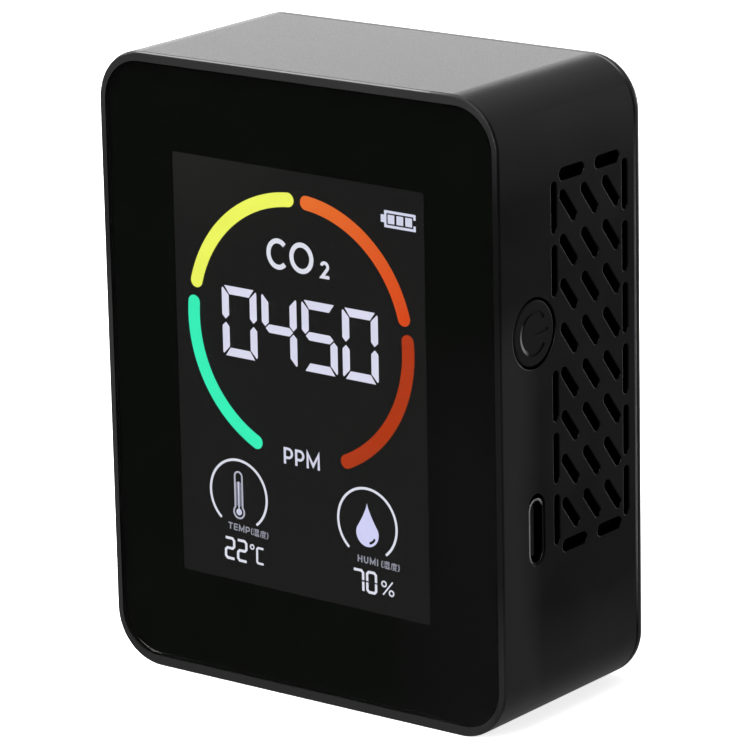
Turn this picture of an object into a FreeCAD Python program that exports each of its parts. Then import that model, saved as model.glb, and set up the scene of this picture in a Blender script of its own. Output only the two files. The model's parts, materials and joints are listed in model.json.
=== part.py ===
"""Carbon dioxide monitor: a parametric assembly of separate named pieces.

Frame, in millimetres: X to the right, Y to the back, Z up. The origin is at the
middle of the underside. The display faces -Y, and the button and the charging
port are on the right side, +X.
"""
import FreeCAD, Part
import math
import os

import Sketcher

DRIVING_SIZES = [
    ("body_width", 65.0, "outer width of the case"),
    ("body_depth", 32.0, "outer depth of the case"),
    ("body_height", 85.0, "outer height of the case"),
    ("corner_radius", 7.2, "corner radius of the case seen from the front"),
    ("side_wall", 1.8, "thickness of the case's four sides"),
    ("front_wall", 1.5, "thickness of the wall that carries the lens"),
    ("front_edge", 0.3, "rounding of the front outer edge"),
    ("cut_extra", 1.2, "extra depth of the cuts that go through one side"),
    ("rim_side", 0.95, "width of the rim left and right of the lens"),
    ("rim_end", 1.35, "width of the rim above and below the lens"),
    ("seam_chamfer", 0.2, "chamfer on both sides of the case's seam"),
    ("cover_thickness", 1.8, "thickness of the rear cover"),
    ("cover_edge", 1.2, "rounding of the rear cover's outer edge"),
    ("lip_half_width", 22.0, "half the width of the cover's locating lips"),
    ("lip_thickness", 1.0, "thickness of the locating lips"),
    ("lip_play", 0.15, "gap between a locating lip and the case wall"),
    ("lip_reach", 1.45, "reach of the lips and of the cover's screw bosses"),
    ("cover_hole_radius", 1.2, "radius of the cover's screw holes"),
    ("cover_head_radius", 2.2, "radius of the recesses for the screw heads"),
    ("cover_head_depth", 1.6, "depth of the recesses for the screw heads"),
    ("lens_recess", 0.12, "depth of the lens face below the rim"),
    ("lens_thickness", 1.3, "thickness of the lens"),
    ("lens_play", 0.08, "gap between the lens edge and the rim"),
    ("lens_edge", 0.08, "chamfer on the front edge of the lens"),
    ("tape_thickness", 0.2, "thickness of the adhesive frame"),
    ("tape_width", 1.8, "width of the adhesive frame"),
    ("display_width", 50.0, "width of the display module"),
    ("display_height", 69.2, "height of the display module"),
    ("display_low", 5.7, "height of the display module's lower edge"),
    ("display_gap", 0.1, "gap between the lens and the display glass"),
    ("window_play", 0.3, "gap between the display module and the wall's window"),
    ("window_foot", 2.2, "reach of the wall's window below the display module"),
    ("glass_inset", 0.2, "inset of the display glass left and right"),
    ("glass_foot", 3.0, "height of the glass's lower edge above the module's"),
    ("glass_thickness", 1.1, "thickness of the display glass"),
    ("backlight_thickness", 1.3, "thickness of the backlight frame"),
    ("flex_half_width", 10.0, "half the width of the display's ribbon"),
    ("flex_thickness", 0.2, "thickness of the ribbon"),
    ("flex_turn", 0.4, "height of the module's lower edge above the ribbon's turn"),
    ("flex_end", 12.0, "height of the ribbon's rear end"),
    ("board_width", 58.4, "width of the main board"),
    ("board_low", 9.8, "height of the main board's lower edge"),
    ("board_high", 75.2, "height of the main board's upper edge"),
    ("board_thickness", 1.2, "thickness of the main board"),
    ("board_corner", 1.0, "corner radius of the main board"),
    ("board_hole_radius", 0.95, "radius of the main board's screw holes"),
    ("board_back", 10.25, "distance from the mid plane forward to the board's rear face"),
    ("board_post_x", 27.6, "distance of the board screws from the middle"),
    ("board_post_low", 13.2, "height of the lower board screws"),
    ("board_post_high", 71.8, "height of the upper board screws"),
    ("cover_post_x", 27.9, "distance of the cover screws from the middle"),
    ("cover_post_edge", 6.9, "distance of the cover screws from base and top"),
    ("cover_post_radius", 2.5, "radius of the posts for the cover screws"),
    ("cover_bore_radius", 1.05, "radius of the bores for the cover screws"),
    ("cover_bore_depth", 8.5, "depth of the bores for the cover screws"),
    ("board_post_radius", 2.0, "radius of the posts for the board screws"),
    ("board_bore_radius", 0.85, "radius of the bores for the board screws"),
    ("board_bore_depth", 2.4, "depth of the bores for the board screws"),
    ("cover_screw_head_radius", 1.9, "radius of a cover screw's head"),
    ("cover_screw_head_height", 1.3, "height of a cover screw's head"),
    ("cover_screw_radius", 0.98, "radius of a cover screw's shank"),
    ("cover_screw_length", 8.0, "length of a cover screw's shank"),
    ("board_screw_head_radius", 1.6, "radius of a board screw's head"),
    ("board_screw_head_height", 1.1, "height of a board screw's head"),
    ("board_screw_radius", 0.8, "radius of a board screw's shank"),
    ("board_screw_length", 3.3, "length of a board screw's shank"),
    ("cross_half_width", 0.22, "half the width of a screw's cross slot"),
    ("boss_gap", 0.05, "gap between the case's screw posts and the cover's bosses"),
    ("slot_width", 1.3, "width of the upright border slots"),
    ("row_slot_width", 1.7, "width of the level border slots"),
    ("slant_slot_width", 1.5, "width of the slanting slots"),
    ("slant_half_y", 1.22, "half the run of a slanting slot, front to back"),
    ("slant_half_z", 1.52, "half the drop of a slanting slot"),
    ("slant_pitch_y", 4.78, "spacing of the slanting slots, front to back"),
    ("slant_pitch_z", 5.84, "spacing of the slanting slots in height"),
    ("grille_y", 3.95, "middle of the grille, behind the mid plane"),
    ("grille_z", 48.2, "height of the grille's middle"),
    ("border_half_y", 7.93, "distance of the upright border slots from the middle"),
    ("border_half_z", 24.7, "distance of the level border slots from the middle"),
    ("border_pitch_z", 8.28, "spacing of the upright border slots"),
    ("border_half_slot", 2.75, "half the straight length of an upright slot"),
    ("row_half_slot", 1.95, "half the straight length of a level slot"),
    ("row_half_pitch", 3.98, "half the spacing of the level slots"),
    ("slot_chamfer", 0.08, "chamfer on the outer edges of the openings"),
    ("button_forward", 8.55, "distance of the button axis in front of the mid plane"),
    ("button_z", 53.4, "height of the button axis"),
    ("button_hole_radius", 4.7, "radius of the hole for the button"),
    ("button_radius", 4.35, "radius of the button cap"),
    ("button_sink", 0.1, "depth of the cap below the side"),
    ("button_travel", 0.3, "travel of the button"),
    ("button_edge", 0.25, "rounding of the cap's edge"),
    ("flange_play", 0.15, "gap between the button's flange and the wall"),
    ("flange_thickness", 0.7, "thickness of the button's flange"),
    ("flange_back", 4.1, "reach of the flange behind the button axis"),
    ("flange_half_height", 5.6, "half the height of the flange"),
    ("stem_radius", 1.5, "radius of the stem behind the flange"),
    ("stem_length", 0.9, "length of the stem behind the flange"),
    ("mark_radius", 2.75, "radius of the ring of the power mark"),
    ("mark_half_line", 0.27, "half the line width of the power mark"),
    ("mark_depth", 0.13, "depth of the power mark"),
    ("mark_bar_start", 0.5, "start of the mark's bar behind the button axis"),
    ("mark_bar_end", 2.9, "end of the mark's bar behind the button axis"),
    ("port_forward", 8.5, "distance of the port axis in front of the mid plane"),
    ("port_hole_z", 27.3, "height of the middle of the port cut-out"),
    ("port_hole_width", 3.56, "width of the port cut-out"),
    ("port_hole_length", 9.6, "length of the port cut-out"),
    ("port_z", 27.0, "height of the port axis"),
    ("port_length", 8.94, "outer length of the port shell"),
    ("port_width", 3.26, "outer width of the port shell"),
    ("port_metal", 0.3, "metal thickness of the port shell"),
    ("port_depth", 7.3, "depth of the port shell"),
    ("port_sink", 0.1, "depth of the port's mouth below the side"),
    ("port_edge", 0.1, "rounding of the port's mouth"),
    ("port_floor", 1.6, "thickness of the moulding at the port's inner end"),
    ("tongue_half_thickness", 0.35, "half the thickness of the port's tongue"),
    ("tongue_half_width", 3.35, "half the width of the port's tongue"),
    ("tongue_sink", 0.7, "depth of the tongue's tip inside the mouth"),
    ("switch_left", 24.6, "distance of the switch's inner end from the middle"),
    ("switch_face", 28.0, "distance of the switch's outer face from the middle"),
    ("switch_depth", 3.6, "size of the switch, front to back"),
    ("switch_half_height", 3.0, "half the height of the switch"),
    ("switch_bore_radius", 1.15, "radius of the bore for the plunger"),
    ("switch_floor", 1.7, "thickness of the switch's inner end"),
    ("dome_room", 0.6, "length of the hollow for the snap dome"),
    ("dome_room_radius", 1.5, "radius of the hollow for the snap dome"),
    ("dome_radius", 1.4, "radius of the snap dome"),
    ("dome_thickness", 0.15, "thickness of the snap dome"),
    ("switch_cover_thickness", 0.2, "thickness of the switch's cover plate"),
    ("plunger_radius", 1.0, "radius of the plunger"),
    ("plunger_reach", 0.9, "reach of the plunger beyond the switch's outer face"),
    ("screen_thickness", 0.3, "thickness of a dust screen"),
    ("screen_gap", 0.25, "gap between a dust screen, the button and the cover"),
    ("screen_half_height", 26.75, "half the height of a dust screen"),
    ("sensor_left", 8.0, "left edge of the sensor board"),
    ("sensor_low", 31.0, "lower edge of the sensor board"),
    ("sensor_width", 20.0, "width of the sensor board"),
    ("sensor_height", 33.0, "height of the sensor board"),
    ("sensor_forward", 5.6, "distance of the sensor board's face in front of the mid plane"),
    ("sensor_board_thickness", 1.0, "thickness of the sensor board"),
    ("header_inset", 0.5, "inset of the sensor's pin header"),
    ("header_width", 2.5, "width of the pin header"),
    ("header_low", 6.0, "height of the header's lower end above the board's"),
    ("header_length", 20.0, "length of the pin header"),
    ("chamber_inset_left", 3.5, "inset of the gas chamber beside the header"),
    ("chamber_inset_right", 0.5, "inset of the gas chamber on the other side"),
    ("chamber_inset_end", 1.5, "inset of the gas chamber above and below"),
    ("chamber_depth", 8.0, "depth of the gas chamber"),
    ("chamber_wall", 0.8, "wall thickness of the gas chamber"),
    ("chamber_window_inset", 3.0, "inset of the chamber's windows left and right"),
    ("chamber_window_low", 5.0, "height of the lowest window above the chamber's end"),
    ("chamber_window_height", 4.0, "height of a window"),
    ("chamber_window_pitch", 7.0, "spacing of the windows"),
    ("membrane_inset", 2.0, "inset of the membrane left and right"),
    ("membrane_low", 4.0, "height of the membrane's lower edge above the chamber's"),
    ("membrane_height", 20.0, "height of the membrane"),
    ("membrane_thickness", 0.25, "thickness of the membrane"),
    ("lamp_radius", 1.5, "radius of the infrared lamp"),
    ("lamp_length", 4.0, "length of the infrared lamp"),
    ("lamp_low", 3.0, "height of the lamp above the chamber's lower end"),
    ("detector_radius", 2.7, "radius of the infrared detector"),
    ("detector_length", 3.2, "length of the infrared detector"),
    ("detector_drop", 4.2, "drop of the detector below the chamber's upper end"),
    ("battery_left", 28.2, "distance of the battery's left edge from the middle"),
    ("battery_width", 34.0, "width of the battery"),
    ("battery_height", 50.0, "height of the battery"),
    ("battery_thickness", 7.6, "thickness of the battery"),
    ("battery_low", 11.5, "height of the battery's lower edge"),
    ("battery_corner", 2.0, "rounding of the battery's upright edges"),
    ("pad_thickness", 0.6, "thickness of the battery's adhesive pad"),
    ("pad_inset_side", 4.0, "inset of the pad left and right"),
    ("pad_inset_end", 5.0, "inset of the pad above and below"),
    ("circuit_height", 3.0, "height of the battery's protection board"),
    ("circuit_inset", 2.5, "distance of the protection board behind the battery's face"),
    ("circuit_depth", 2.6, "size of the protection board, front to back"),
    ("circuit_lead_depth", 1.3, "distance of the leads behind the protection board's face"),
    ("socket_depth", 4.0, "size of the battery socket, front to back"),
    ("plug_depth", 3.5, "size of the battery plug, front to back"),
    ("plug_z", 69.5, "height of the battery plug's middle"),
    ("plug_half_height", 2.0, "half the height of the battery plug"),
    ("socket_half_height", 2.7, "half the height of the battery socket"),
    ("lead_radius", 0.6, "radius of a battery lead"),
    ("lead_bend", 2.2, "bend radius of a battery lead"),
]

document = FreeCAD.newDocument("CarbonDioxideMonitor")
nodes = []


class Dim:
    """A length that carries its value and the sheet expression it follows."""

    def __init__(self, number, text):
        self.number = number
        self.text = text

    def __add__(self, other):
        other = as_dim(other)
        return Dim(self.number + other.number, f"({self.text} + {other.text})")

    def __sub__(self, other):
        other = as_dim(other)
        return Dim(self.number - other.number, f"({self.text} - {other.text})")

    def __mul__(self, factor):
        return Dim(self.number * factor, f"({self.text} * {factor})")

    def __truediv__(self, factor):
        return Dim(self.number / factor, f"({self.text} / {factor})")

    def __neg__(self):
        return Dim(-self.number, f"(0 - {self.text})")


def as_dim(value):
    return value if isinstance(value, Dim) else Dim(float(value), f"{float(value)}")


def make_sheet():
    sheet = document.addObject("Spreadsheet::Sheet", "Sizes")
    for row, (alias, value, note) in enumerate(DRIVING_SIZES, start=1):
        sheet.set(f"A{row}", alias)
        sheet.set(f"B{row}", f"{value}")
        sheet.set(f"C{row}", note)
        sheet.setAlias(f"B{row}", alias)
    document.recompute()
    return {alias: Dim(value, f"Sizes.{alias}") for alias, value, note in DRIVING_SIZES}


size = make_sheet()

# Planes and edges that many pieces share.
right = size["body_width"] / 2
front = -size["body_depth"] / 2
back = size["body_depth"] / 2
top = size["body_height"]
seam = back - size["cover_thickness"]
inner_right = right - size["side_wall"]
lens_back = front + size["lens_recess"] + size["lens_thickness"]
pocket_floor = lens_back + size["tape_thickness"]
front_inside = pocket_floor + size["front_wall"]
display_front = lens_back + size["display_gap"]
display_middle = display_front + size["glass_thickness"]
display_back = display_middle + size["backlight_thickness"]
display_high = size["display_low"] + size["display_height"]
board_rear = -size["board_back"]
board_front = board_rear - size["board_thickness"]
board_right = size["board_width"] / 2
button_y = -size["button_forward"]
port_y = -size["port_forward"]
cover_post_high = top - size["cover_post_edge"]
cover_post_end = seam - size["lip_reach"] - size["boss_gap"]
sensor_right = size["sensor_left"] + size["sensor_width"]
sensor_high = size["sensor_low"] + size["sensor_height"]
sensor_face = -size["sensor_forward"]
sensor_board_rear = sensor_face + size["sensor_board_thickness"]
chamber_left = size["sensor_left"] + size["chamber_inset_left"]
chamber_right = sensor_right - size["chamber_inset_right"]
chamber_low = size["sensor_low"] + size["chamber_inset_end"]
chamber_high = sensor_high - size["chamber_inset_end"]
chamber_rear = sensor_board_rear + size["chamber_depth"]
battery_right = -size["battery_left"] + size["battery_width"]
battery_high = size["battery_low"] + size["battery_height"]
battery_rear = seam - size["pad_thickness"]
battery_front = battery_rear - size["battery_thickness"]


def bind(item, path, value):
    """Set one property of an object from the sheet."""
    item.setExpression(path, as_dim(value).text)


def keep(item, name):
    """Name a finished piece and put it on the list of nodes."""
    item.Label = name
    nodes.append(item)
    return item


# ---- Solids from Part primitives ----

def block(name, x, y, z):
    """A box between a low and a high value on each axis."""
    box = document.addObject("Part::Box", name)
    for side, (low, high) in zip(("Length", "Width", "Height"), (x, y, z)):
        bind(box, side, as_dim(high) - low)
    for axis, (low, high) in zip("xyz", (x, y, z)):
        bind(box, f"Placement.Base.{axis}", low)
    return box


def rod(name, axis, radius, start, end, place):
    """A cylinder along X or Y from start to end; place holds its other two values."""
    cylinder = document.addObject("Part::Cylinder", name)
    turn = {"x": FreeCAD.Rotation(FreeCAD.Vector(0, 1, 0), 90),
            "y": FreeCAD.Rotation(FreeCAD.Vector(1, 0, 0), -90)}[axis]
    cylinder.Placement = FreeCAD.Placement(FreeCAD.Vector(), turn)
    bind(cylinder, "Radius", radius)
    bind(cylinder, "Height", as_dim(end) - start)
    bind(cylinder, f"Placement.Base.{axis}", start)
    for other, value in zip([word for word in "xyz" if word != axis], place):
        bind(cylinder, f"Placement.Base.{other}", value)
    return cylinder


def fuse(name, pieces):
    joined = document.addObject("Part::MultiFuse", name)
    joined.Shapes = pieces
    return joined


def cut(name, base, tools):
    result = document.addObject("Part::Cut", name)
    result.Base = base
    result.Tool = tools[0] if len(tools) == 1 else fuse(f"{name}_tools", tools)
    return result


def group(name, pieces):
    compound = document.addObject("Part::Compound", name)
    compound.Links = pieces
    return compound


# ---- Bodies from sketches ----

def new_body(name):
    return document.addObject("PartDesign::Body", f"{name}_body")


def new_sketch(body, plane, height):
    """A sketch at the given height on one of the body's origin planes."""
    sketch = body.newObject("Sketcher::SketchObject", "Sketch")
    base = [item for item in body.Origin.OriginFeatures if item.Role == plane]
    sketch.AttachmentSupport = [(base[0], "")]
    sketch.MapMode = "FlatFace"
    bind(sketch, "AttachmentOffset.Base.z", height)
    return sketch


def constrain(sketch, kind, places, value):
    """A driving dimension of the sketch that follows the sheet."""
    value = as_dim(value)
    index = sketch.addConstraint(Sketcher.Constraint(kind, *places, value.number))
    sketch.setExpression(f"Constraints[{index}]", value.text)


def rectangle(sketch, x, y):
    """A rectangle between a low and a high value on each sketch axis."""
    (left, right_edge), (low, high) = [[as_dim(end) for end in pair] for pair in (x, y)]
    corners = [(left, low), (right_edge, low), (right_edge, high), (left, high)]
    points = [FreeCAD.Vector(a.number, b.number, 0) for a, b in corners]
    lines = [sketch.addGeometry(Part.LineSegment(points[k], points[(k + 1) % 4])) for k in range(4)]
    for k in range(4):
        following = lines[(k + 1) % 4]
        sketch.addConstraint(Sketcher.Constraint("Coincident", lines[k], 2, following, 1))
        kind = "Horizontal" if k % 2 == 0 else "Vertical"
        sketch.addConstraint(Sketcher.Constraint(kind, lines[k]))
    constrain(sketch, "DistanceX", (-1, 1, lines[0], 1), left)
    constrain(sketch, "DistanceX", (-1, 1, lines[2], 1), right_edge)
    constrain(sketch, "DistanceY", (-1, 1, lines[0], 1), low)
    constrain(sketch, "DistanceY", (-1, 1, lines[2], 1), high)


def rounded_rectangle(sketch, x, y, radius):
    """A rectangle with four equal round corners."""
    (left, right_edge), (low, high) = [[as_dim(end) for end in pair] for pair in (x, y)]
    radius = as_dim(radius)
    centres = [(right_edge - radius, high - radius), (left + radius, high - radius),
               (left + radius, low + radius), (right_edge - radius, low + radius)]
    arcs = []
    for k, (a, b) in enumerate(centres):
        ring = Part.Circle(FreeCAD.Vector(a.number, b.number, 0), FreeCAD.Vector(0, 0, 1), radius.number)
        arcs.append(sketch.addGeometry(Part.ArcOfCircle(ring, k * math.pi / 2, (k + 1) * math.pi / 2)))
    for k in range(4):
        first = sketch.getPoint(arcs[k], 2)
        second = sketch.getPoint(arcs[(k + 1) % 4], 1)
        line = sketch.addGeometry(Part.LineSegment(first, second))
        sketch.addConstraint(Sketcher.Constraint("Tangent", arcs[k], 2, line, 1))
        sketch.addConstraint(Sketcher.Constraint("Tangent", line, 2, arcs[(k + 1) % 4], 1))
        sketch.addConstraint(Sketcher.Constraint("Horizontal" if k % 2 == 0 else "Vertical", line))
    for k in range(3):
        sketch.addConstraint(Sketcher.Constraint("Equal", arcs[k], arcs[k + 1]))
    constrain(sketch, "Radius", (arcs[0],), radius)
    constrain(sketch, "DistanceX", (-1, 1, arcs[0], 3), centres[0][0])
    constrain(sketch, "DistanceY", (-1, 1, arcs[0], 3), centres[0][1])
    constrain(sketch, "DistanceX", (-1, 1, arcs[2], 3), centres[2][0])
    constrain(sketch, "DistanceY", (-1, 1, arcs[2], 3), centres[2][1])


def obround(sketch, first, second, radius):
    """A slot outline round two end centres."""
    ends = [[as_dim(value) for value in first], [as_dim(value) for value in second]]
    radius = as_dim(radius)
    run = [ends[1][0].number - ends[0][0].number, ends[1][1].number - ends[0][1].number]
    angle = math.atan2(run[1], run[0])
    arcs = []
    for turn, (a, b) in zip((angle + math.pi / 2, angle - math.pi / 2), ends):
        ring = Part.Circle(FreeCAD.Vector(a.number, b.number, 0), FreeCAD.Vector(0, 0, 1), radius.number)
        arcs.append(sketch.addGeometry(Part.ArcOfCircle(ring, turn, turn + math.pi)))
    for k in range(2):
        other = arcs[1 - k]
        line = sketch.addGeometry(Part.LineSegment(sketch.getPoint(arcs[k], 2), sketch.getPoint(other, 1)))
        sketch.addConstraint(Sketcher.Constraint("Tangent", arcs[k], 2, line, 1))
        sketch.addConstraint(Sketcher.Constraint("Tangent", line, 2, other, 1))
    constrain(sketch, "Radius", (arcs[0],), radius)
    for arc, (a, b) in zip(arcs, ends):
        constrain(sketch, "DistanceX", (-1, 1, arc, 3), a)
        constrain(sketch, "DistanceY", (-1, 1, arc, 3), b)


def circle(sketch, x, y, radius):
    x, y, radius = as_dim(x), as_dim(y), as_dim(radius)
    shape = Part.Circle(FreeCAD.Vector(x.number, y.number, 0), FreeCAD.Vector(0, 0, 1), radius.number)
    index = sketch.addGeometry(shape)
    constrain(sketch, "Radius", (index,), radius)
    constrain(sketch, "DistanceX", (-1, 1, index, 3), x)
    constrain(sketch, "DistanceY", (-1, 1, index, 3), y)


def extrude(body, kind, sketch, length, reverse=False):
    """A Pad or Pocket of the sketch; its direction is set by reverse."""
    before = body.Shape.Volume if body.Tip else 0
    feature = body.newObject(f"PartDesign::{kind}", kind)
    feature.Profile = sketch
    bind(feature, "Length", length)
    feature.Reversed = reverse
    body.Tip = feature
    document.recompute()
    require_change(body, before, kind)
    return feature


def require_change(body, before, kind):
    """Stop if a pad adds nothing or a pocket removes nothing."""
    change = body.Shape.Volume - before
    if (kind == "Pad") != (change > 1e-6) or abs(change) < 1e-6:
        raise RuntimeError(f"{kind} in {body.Label} changes the volume by {change}")


def pocket_both_sides(body, sketch):
    """Cut the sketch through the left and the right wall at once."""
    before = body.Shape.Volume
    feature = body.newObject("PartDesign::Pocket", "Pocket")
    feature.Profile = sketch
    feature.Type = "ThroughAll"
    feature.SideType = "Symmetric"
    body.Tip = feature
    document.recompute()
    require_change(body, before, "Pocket")
    return feature


def pattern(body, feature, sketch, steps_y, pitch_y, steps_z, pitch_z):
    """Repeat a feature along the sketch's two axes."""
    copies = body.newObject("PartDesign::LinearPattern", "LinearPattern")
    copies.Originals = [feature]
    copies.Direction = (sketch, ["H_Axis"])
    copies.Direction2 = (sketch, ["V_Axis"])
    for suffix, steps, pitch in (("", steps_y, pitch_y), ("2", steps_z, pitch_z)):
        setattr(copies, f"Mode{suffix}", "Extent")
        setattr(copies, f"Occurrences{suffix}", steps)
        bind(copies, f"Length{suffix}", pitch * max(steps - 1, 1))
    body.Tip = copies
    document.recompute()
    return copies


def dress(body, kind, amount_name, amount, chosen):
    """A Fillet or Chamfer on the edges of the tip that the test picks."""
    base = body.Tip
    names = [f"Edge{k + 1}" for k, edge in enumerate(base.Shape.Edges) if chosen(edge)]
    feature = body.newObject(f"PartDesign::{kind}", kind)
    feature.Base = (base, names)
    bind(feature, amount_name, amount)
    body.Tip = feature
    document.recompute()
    return feature


def lies_at(edge, axis, value):
    """True for an edge that lies wholly in the plane where axis equals value."""
    box = edge.BoundBox
    low, high = {"x": (box.XMin, box.XMax), "y": (box.YMin, box.YMax), "z": (box.ZMin, box.ZMax)}[axis]
    return abs(low - value.number) < 1e-4 and abs(high - value.number) < 1e-4


# ---- The case ----

def cut_grille(body):
    """Slots through both side walls: a slanting field inside a dashed border."""
    middle_y, middle_z = size["grille_y"], size["grille_z"]

    field = new_sketch(body, "YZ_Plane", 0)
    start_y = middle_y - size["slant_pitch_y"]
    start_z = middle_z - size["slant_pitch_z"] * 3.5
    upper = (start_y - size["slant_half_y"], start_z + size["slant_half_z"])
    lower = (start_y + size["slant_half_y"], start_z - size["slant_half_z"])
    obround(field, upper, lower, size["slant_slot_width"] / 2)
    slot = pocket_both_sides(body, field)
    pattern(body, slot, field, 3, size["slant_pitch_y"], 8, size["slant_pitch_z"])

    rows = new_sketch(body, "YZ_Plane", 0)
    row_y = middle_y - size["row_half_pitch"]
    row_z = middle_z - size["border_half_z"]
    obround(rows, (row_y - size["row_half_slot"], row_z), (row_y + size["row_half_slot"], row_z),
            size["row_slot_width"] / 2)
    slot = pocket_both_sides(body, rows)
    pattern(body, slot, rows, 2, size["row_half_pitch"] * 2, 2, size["border_half_z"] * 2)

    def upright(y, step, count):
        column = new_sketch(body, "YZ_Plane", 0)
        z = middle_z + size["border_pitch_z"] * step
        obround(column, (y, z - size["border_half_slot"]), (y, z + size["border_half_slot"]),
                size["slot_width"] / 2)
        first = pocket_both_sides(body, column)
        pattern(body, first, column, 1, size["border_pitch_z"], count, size["border_pitch_z"])

    upright(middle_y + size["border_half_y"], -2.5, 6)
    upright(middle_y - size["border_half_y"], -2.5, 3)
    upright(middle_y - size["border_half_y"], 1.5, 2)


def add_posts(body, places, radius, bore, end, bore_depth):
    """Round posts on the inside of the front wall, each with a blind bore."""
    outline = new_sketch(body, "XZ_Plane", -front_inside)
    for x, z in places:
        circle(outline, x, z, radius)
    extrude(body, "Pad", outline, end - front_inside, reverse=True)
    bores = new_sketch(body, "XZ_Plane", -end)
    for x, z in places:
        circle(bores, x, z, bore)
    extrude(body, "Pocket", bores, bore_depth, reverse=True)


def four_places(x, low, high):
    return [(-x, low), (x, low), (-x, high), (x, high)]


def rim_rectangle(sketch, inset):
    """Rounded rectangle that lies inset inside the inner edge of the rim."""
    side = size["rim_side"] + inset
    end = size["rim_end"] + inset
    rounded_rectangle(sketch, (side - right, right - side), (end, top - end), size["corner_radius"] - end)


def make_front_housing():
    """One deep moulding: rim, lens ledge, four sides, grilles and screw posts."""
    body = new_body("front_housing")
    outline = new_sketch(body, "XZ_Plane", -front)
    rounded_rectangle(outline, (-right, right), (0, top), size["corner_radius"])
    extrude(body, "Pad", outline, seam - front, reverse=True)

    cavity = new_sketch(body, "XZ_Plane", -seam)
    wall = size["side_wall"]
    rounded_rectangle(cavity, (-inner_right, inner_right), (wall, top - wall), size["corner_radius"] - wall)
    extrude(body, "Pocket", cavity, seam - front_inside, reverse=True)
    dress(body, "Fillet", "Radius", size["front_edge"], lambda edge: lies_at(edge, "y", front))
    dress(body, "Chamfer", "Size", size["seam_chamfer"],
          lambda edge: lies_at(edge, "y", seam) and on_outline(edge))

    recess = new_sketch(body, "XZ_Plane", -front)
    rim_rectangle(recess, 0)
    extrude(body, "Pocket", recess, pocket_floor - front)

    window = new_sketch(body, "XZ_Plane", -pocket_floor)
    half = size["display_width"] / 2 + size["window_play"]
    rectangle(window, (-half, half), (size["display_low"] - size["window_foot"],
                                      display_high + size["window_play"]))
    extrude(body, "Pocket", window, size["front_wall"])

    cut_grille(body)
    port = new_sketch(body, "YZ_Plane", right)
    half = (size["port_hole_length"] - size["port_hole_width"]) / 2
    obround(port, (port_y, size["port_hole_z"] - half), (port_y, size["port_hole_z"] + half),
            size["port_hole_width"] / 2)
    extrude(body, "Pocket", port, size["side_wall"] + size["cut_extra"])
    hole = new_sketch(body, "YZ_Plane", right)
    circle(hole, button_y, size["button_z"], size["button_hole_radius"])
    extrude(body, "Pocket", hole, size["side_wall"] + size["cut_extra"])
    dress(body, "Chamfer", "Size", size["slot_chamfer"],
          lambda edge: lies_at(edge, "x", right) and is_opening(edge))
    dress(body, "Chamfer", "Size", size["slot_chamfer"],
          lambda edge: lies_at(edge, "x", -right) and is_opening(edge))

    cover_places = four_places(size["cover_post_x"], size["cover_post_edge"], cover_post_high)
    add_posts(body, cover_places, size["cover_post_radius"], size["cover_bore_radius"],
              cover_post_end, size["cover_bore_depth"])
    board_places = four_places(size["board_post_x"], size["board_post_low"], size["board_post_high"])
    add_posts(body, board_places, size["board_post_radius"], size["board_bore_radius"],
              board_front, size["board_bore_depth"])
    return keep(body, "front_housing")


def on_outline(edge):
    """True for an edge on the case's outer outline, not on the cavity's."""
    box = edge.BoundBox
    reach = max(abs(box.XMin), abs(box.XMax))
    low_or_high = box.ZMin < 1.0 or box.ZMax > top.number - 1.0
    return reach > right.number - 1.0 or low_or_high


def is_opening(edge):
    """True for an edge inside a side face, away from that face's own border."""
    box = edge.BoundBox
    inside_y = box.YMin > front.number + 1.5 and box.YMax < seam.number - 0.3
    return inside_y and box.ZMin > 8.0 and box.ZMax < top.number - 8.0


def make_rear_cover():
    """Flat cover with a rounded back edge, two locating lips and four posts."""
    body = new_body("rear_cover")
    outline = new_sketch(body, "XZ_Plane", -seam)
    rounded_rectangle(outline, (-right, right), (0, top), size["corner_radius"])
    extrude(body, "Pad", outline, size["cover_thickness"], reverse=True)
    dress(body, "Fillet", "Radius", size["cover_edge"], lambda edge: lies_at(edge, "y", back))
    dress(body, "Chamfer", "Size", size["seam_chamfer"], lambda edge: lies_at(edge, "y", seam))

    lips = new_sketch(body, "XZ_Plane", -seam)
    lip_low = size["side_wall"] + size["lip_play"]
    lip_high = lip_low + size["lip_thickness"]
    across = (-size["lip_half_width"], size["lip_half_width"])
    rectangle(lips, across, (lip_low, lip_high))
    rectangle(lips, across, (top - lip_high, top - lip_low))
    places = four_places(size["cover_post_x"], size["cover_post_edge"], cover_post_high)
    for x, z in places:
        circle(lips, x, z, size["cover_post_radius"])
    extrude(body, "Pad", lips, size["lip_reach"])

    holes = new_sketch(body, "XZ_Plane", -back)
    for x, z in places:
        circle(holes, x, z, size["cover_hole_radius"])
    extrude(body, "Pocket", holes, size["cover_thickness"] + 2, reverse=True)
    heads = new_sketch(body, "XZ_Plane", -back)
    for x, z in places:
        circle(heads, x, z, size["cover_head_radius"])
    extrude(body, "Pocket", heads, size["cover_head_depth"], reverse=True)
    return keep(body, "rear_cover")


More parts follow.
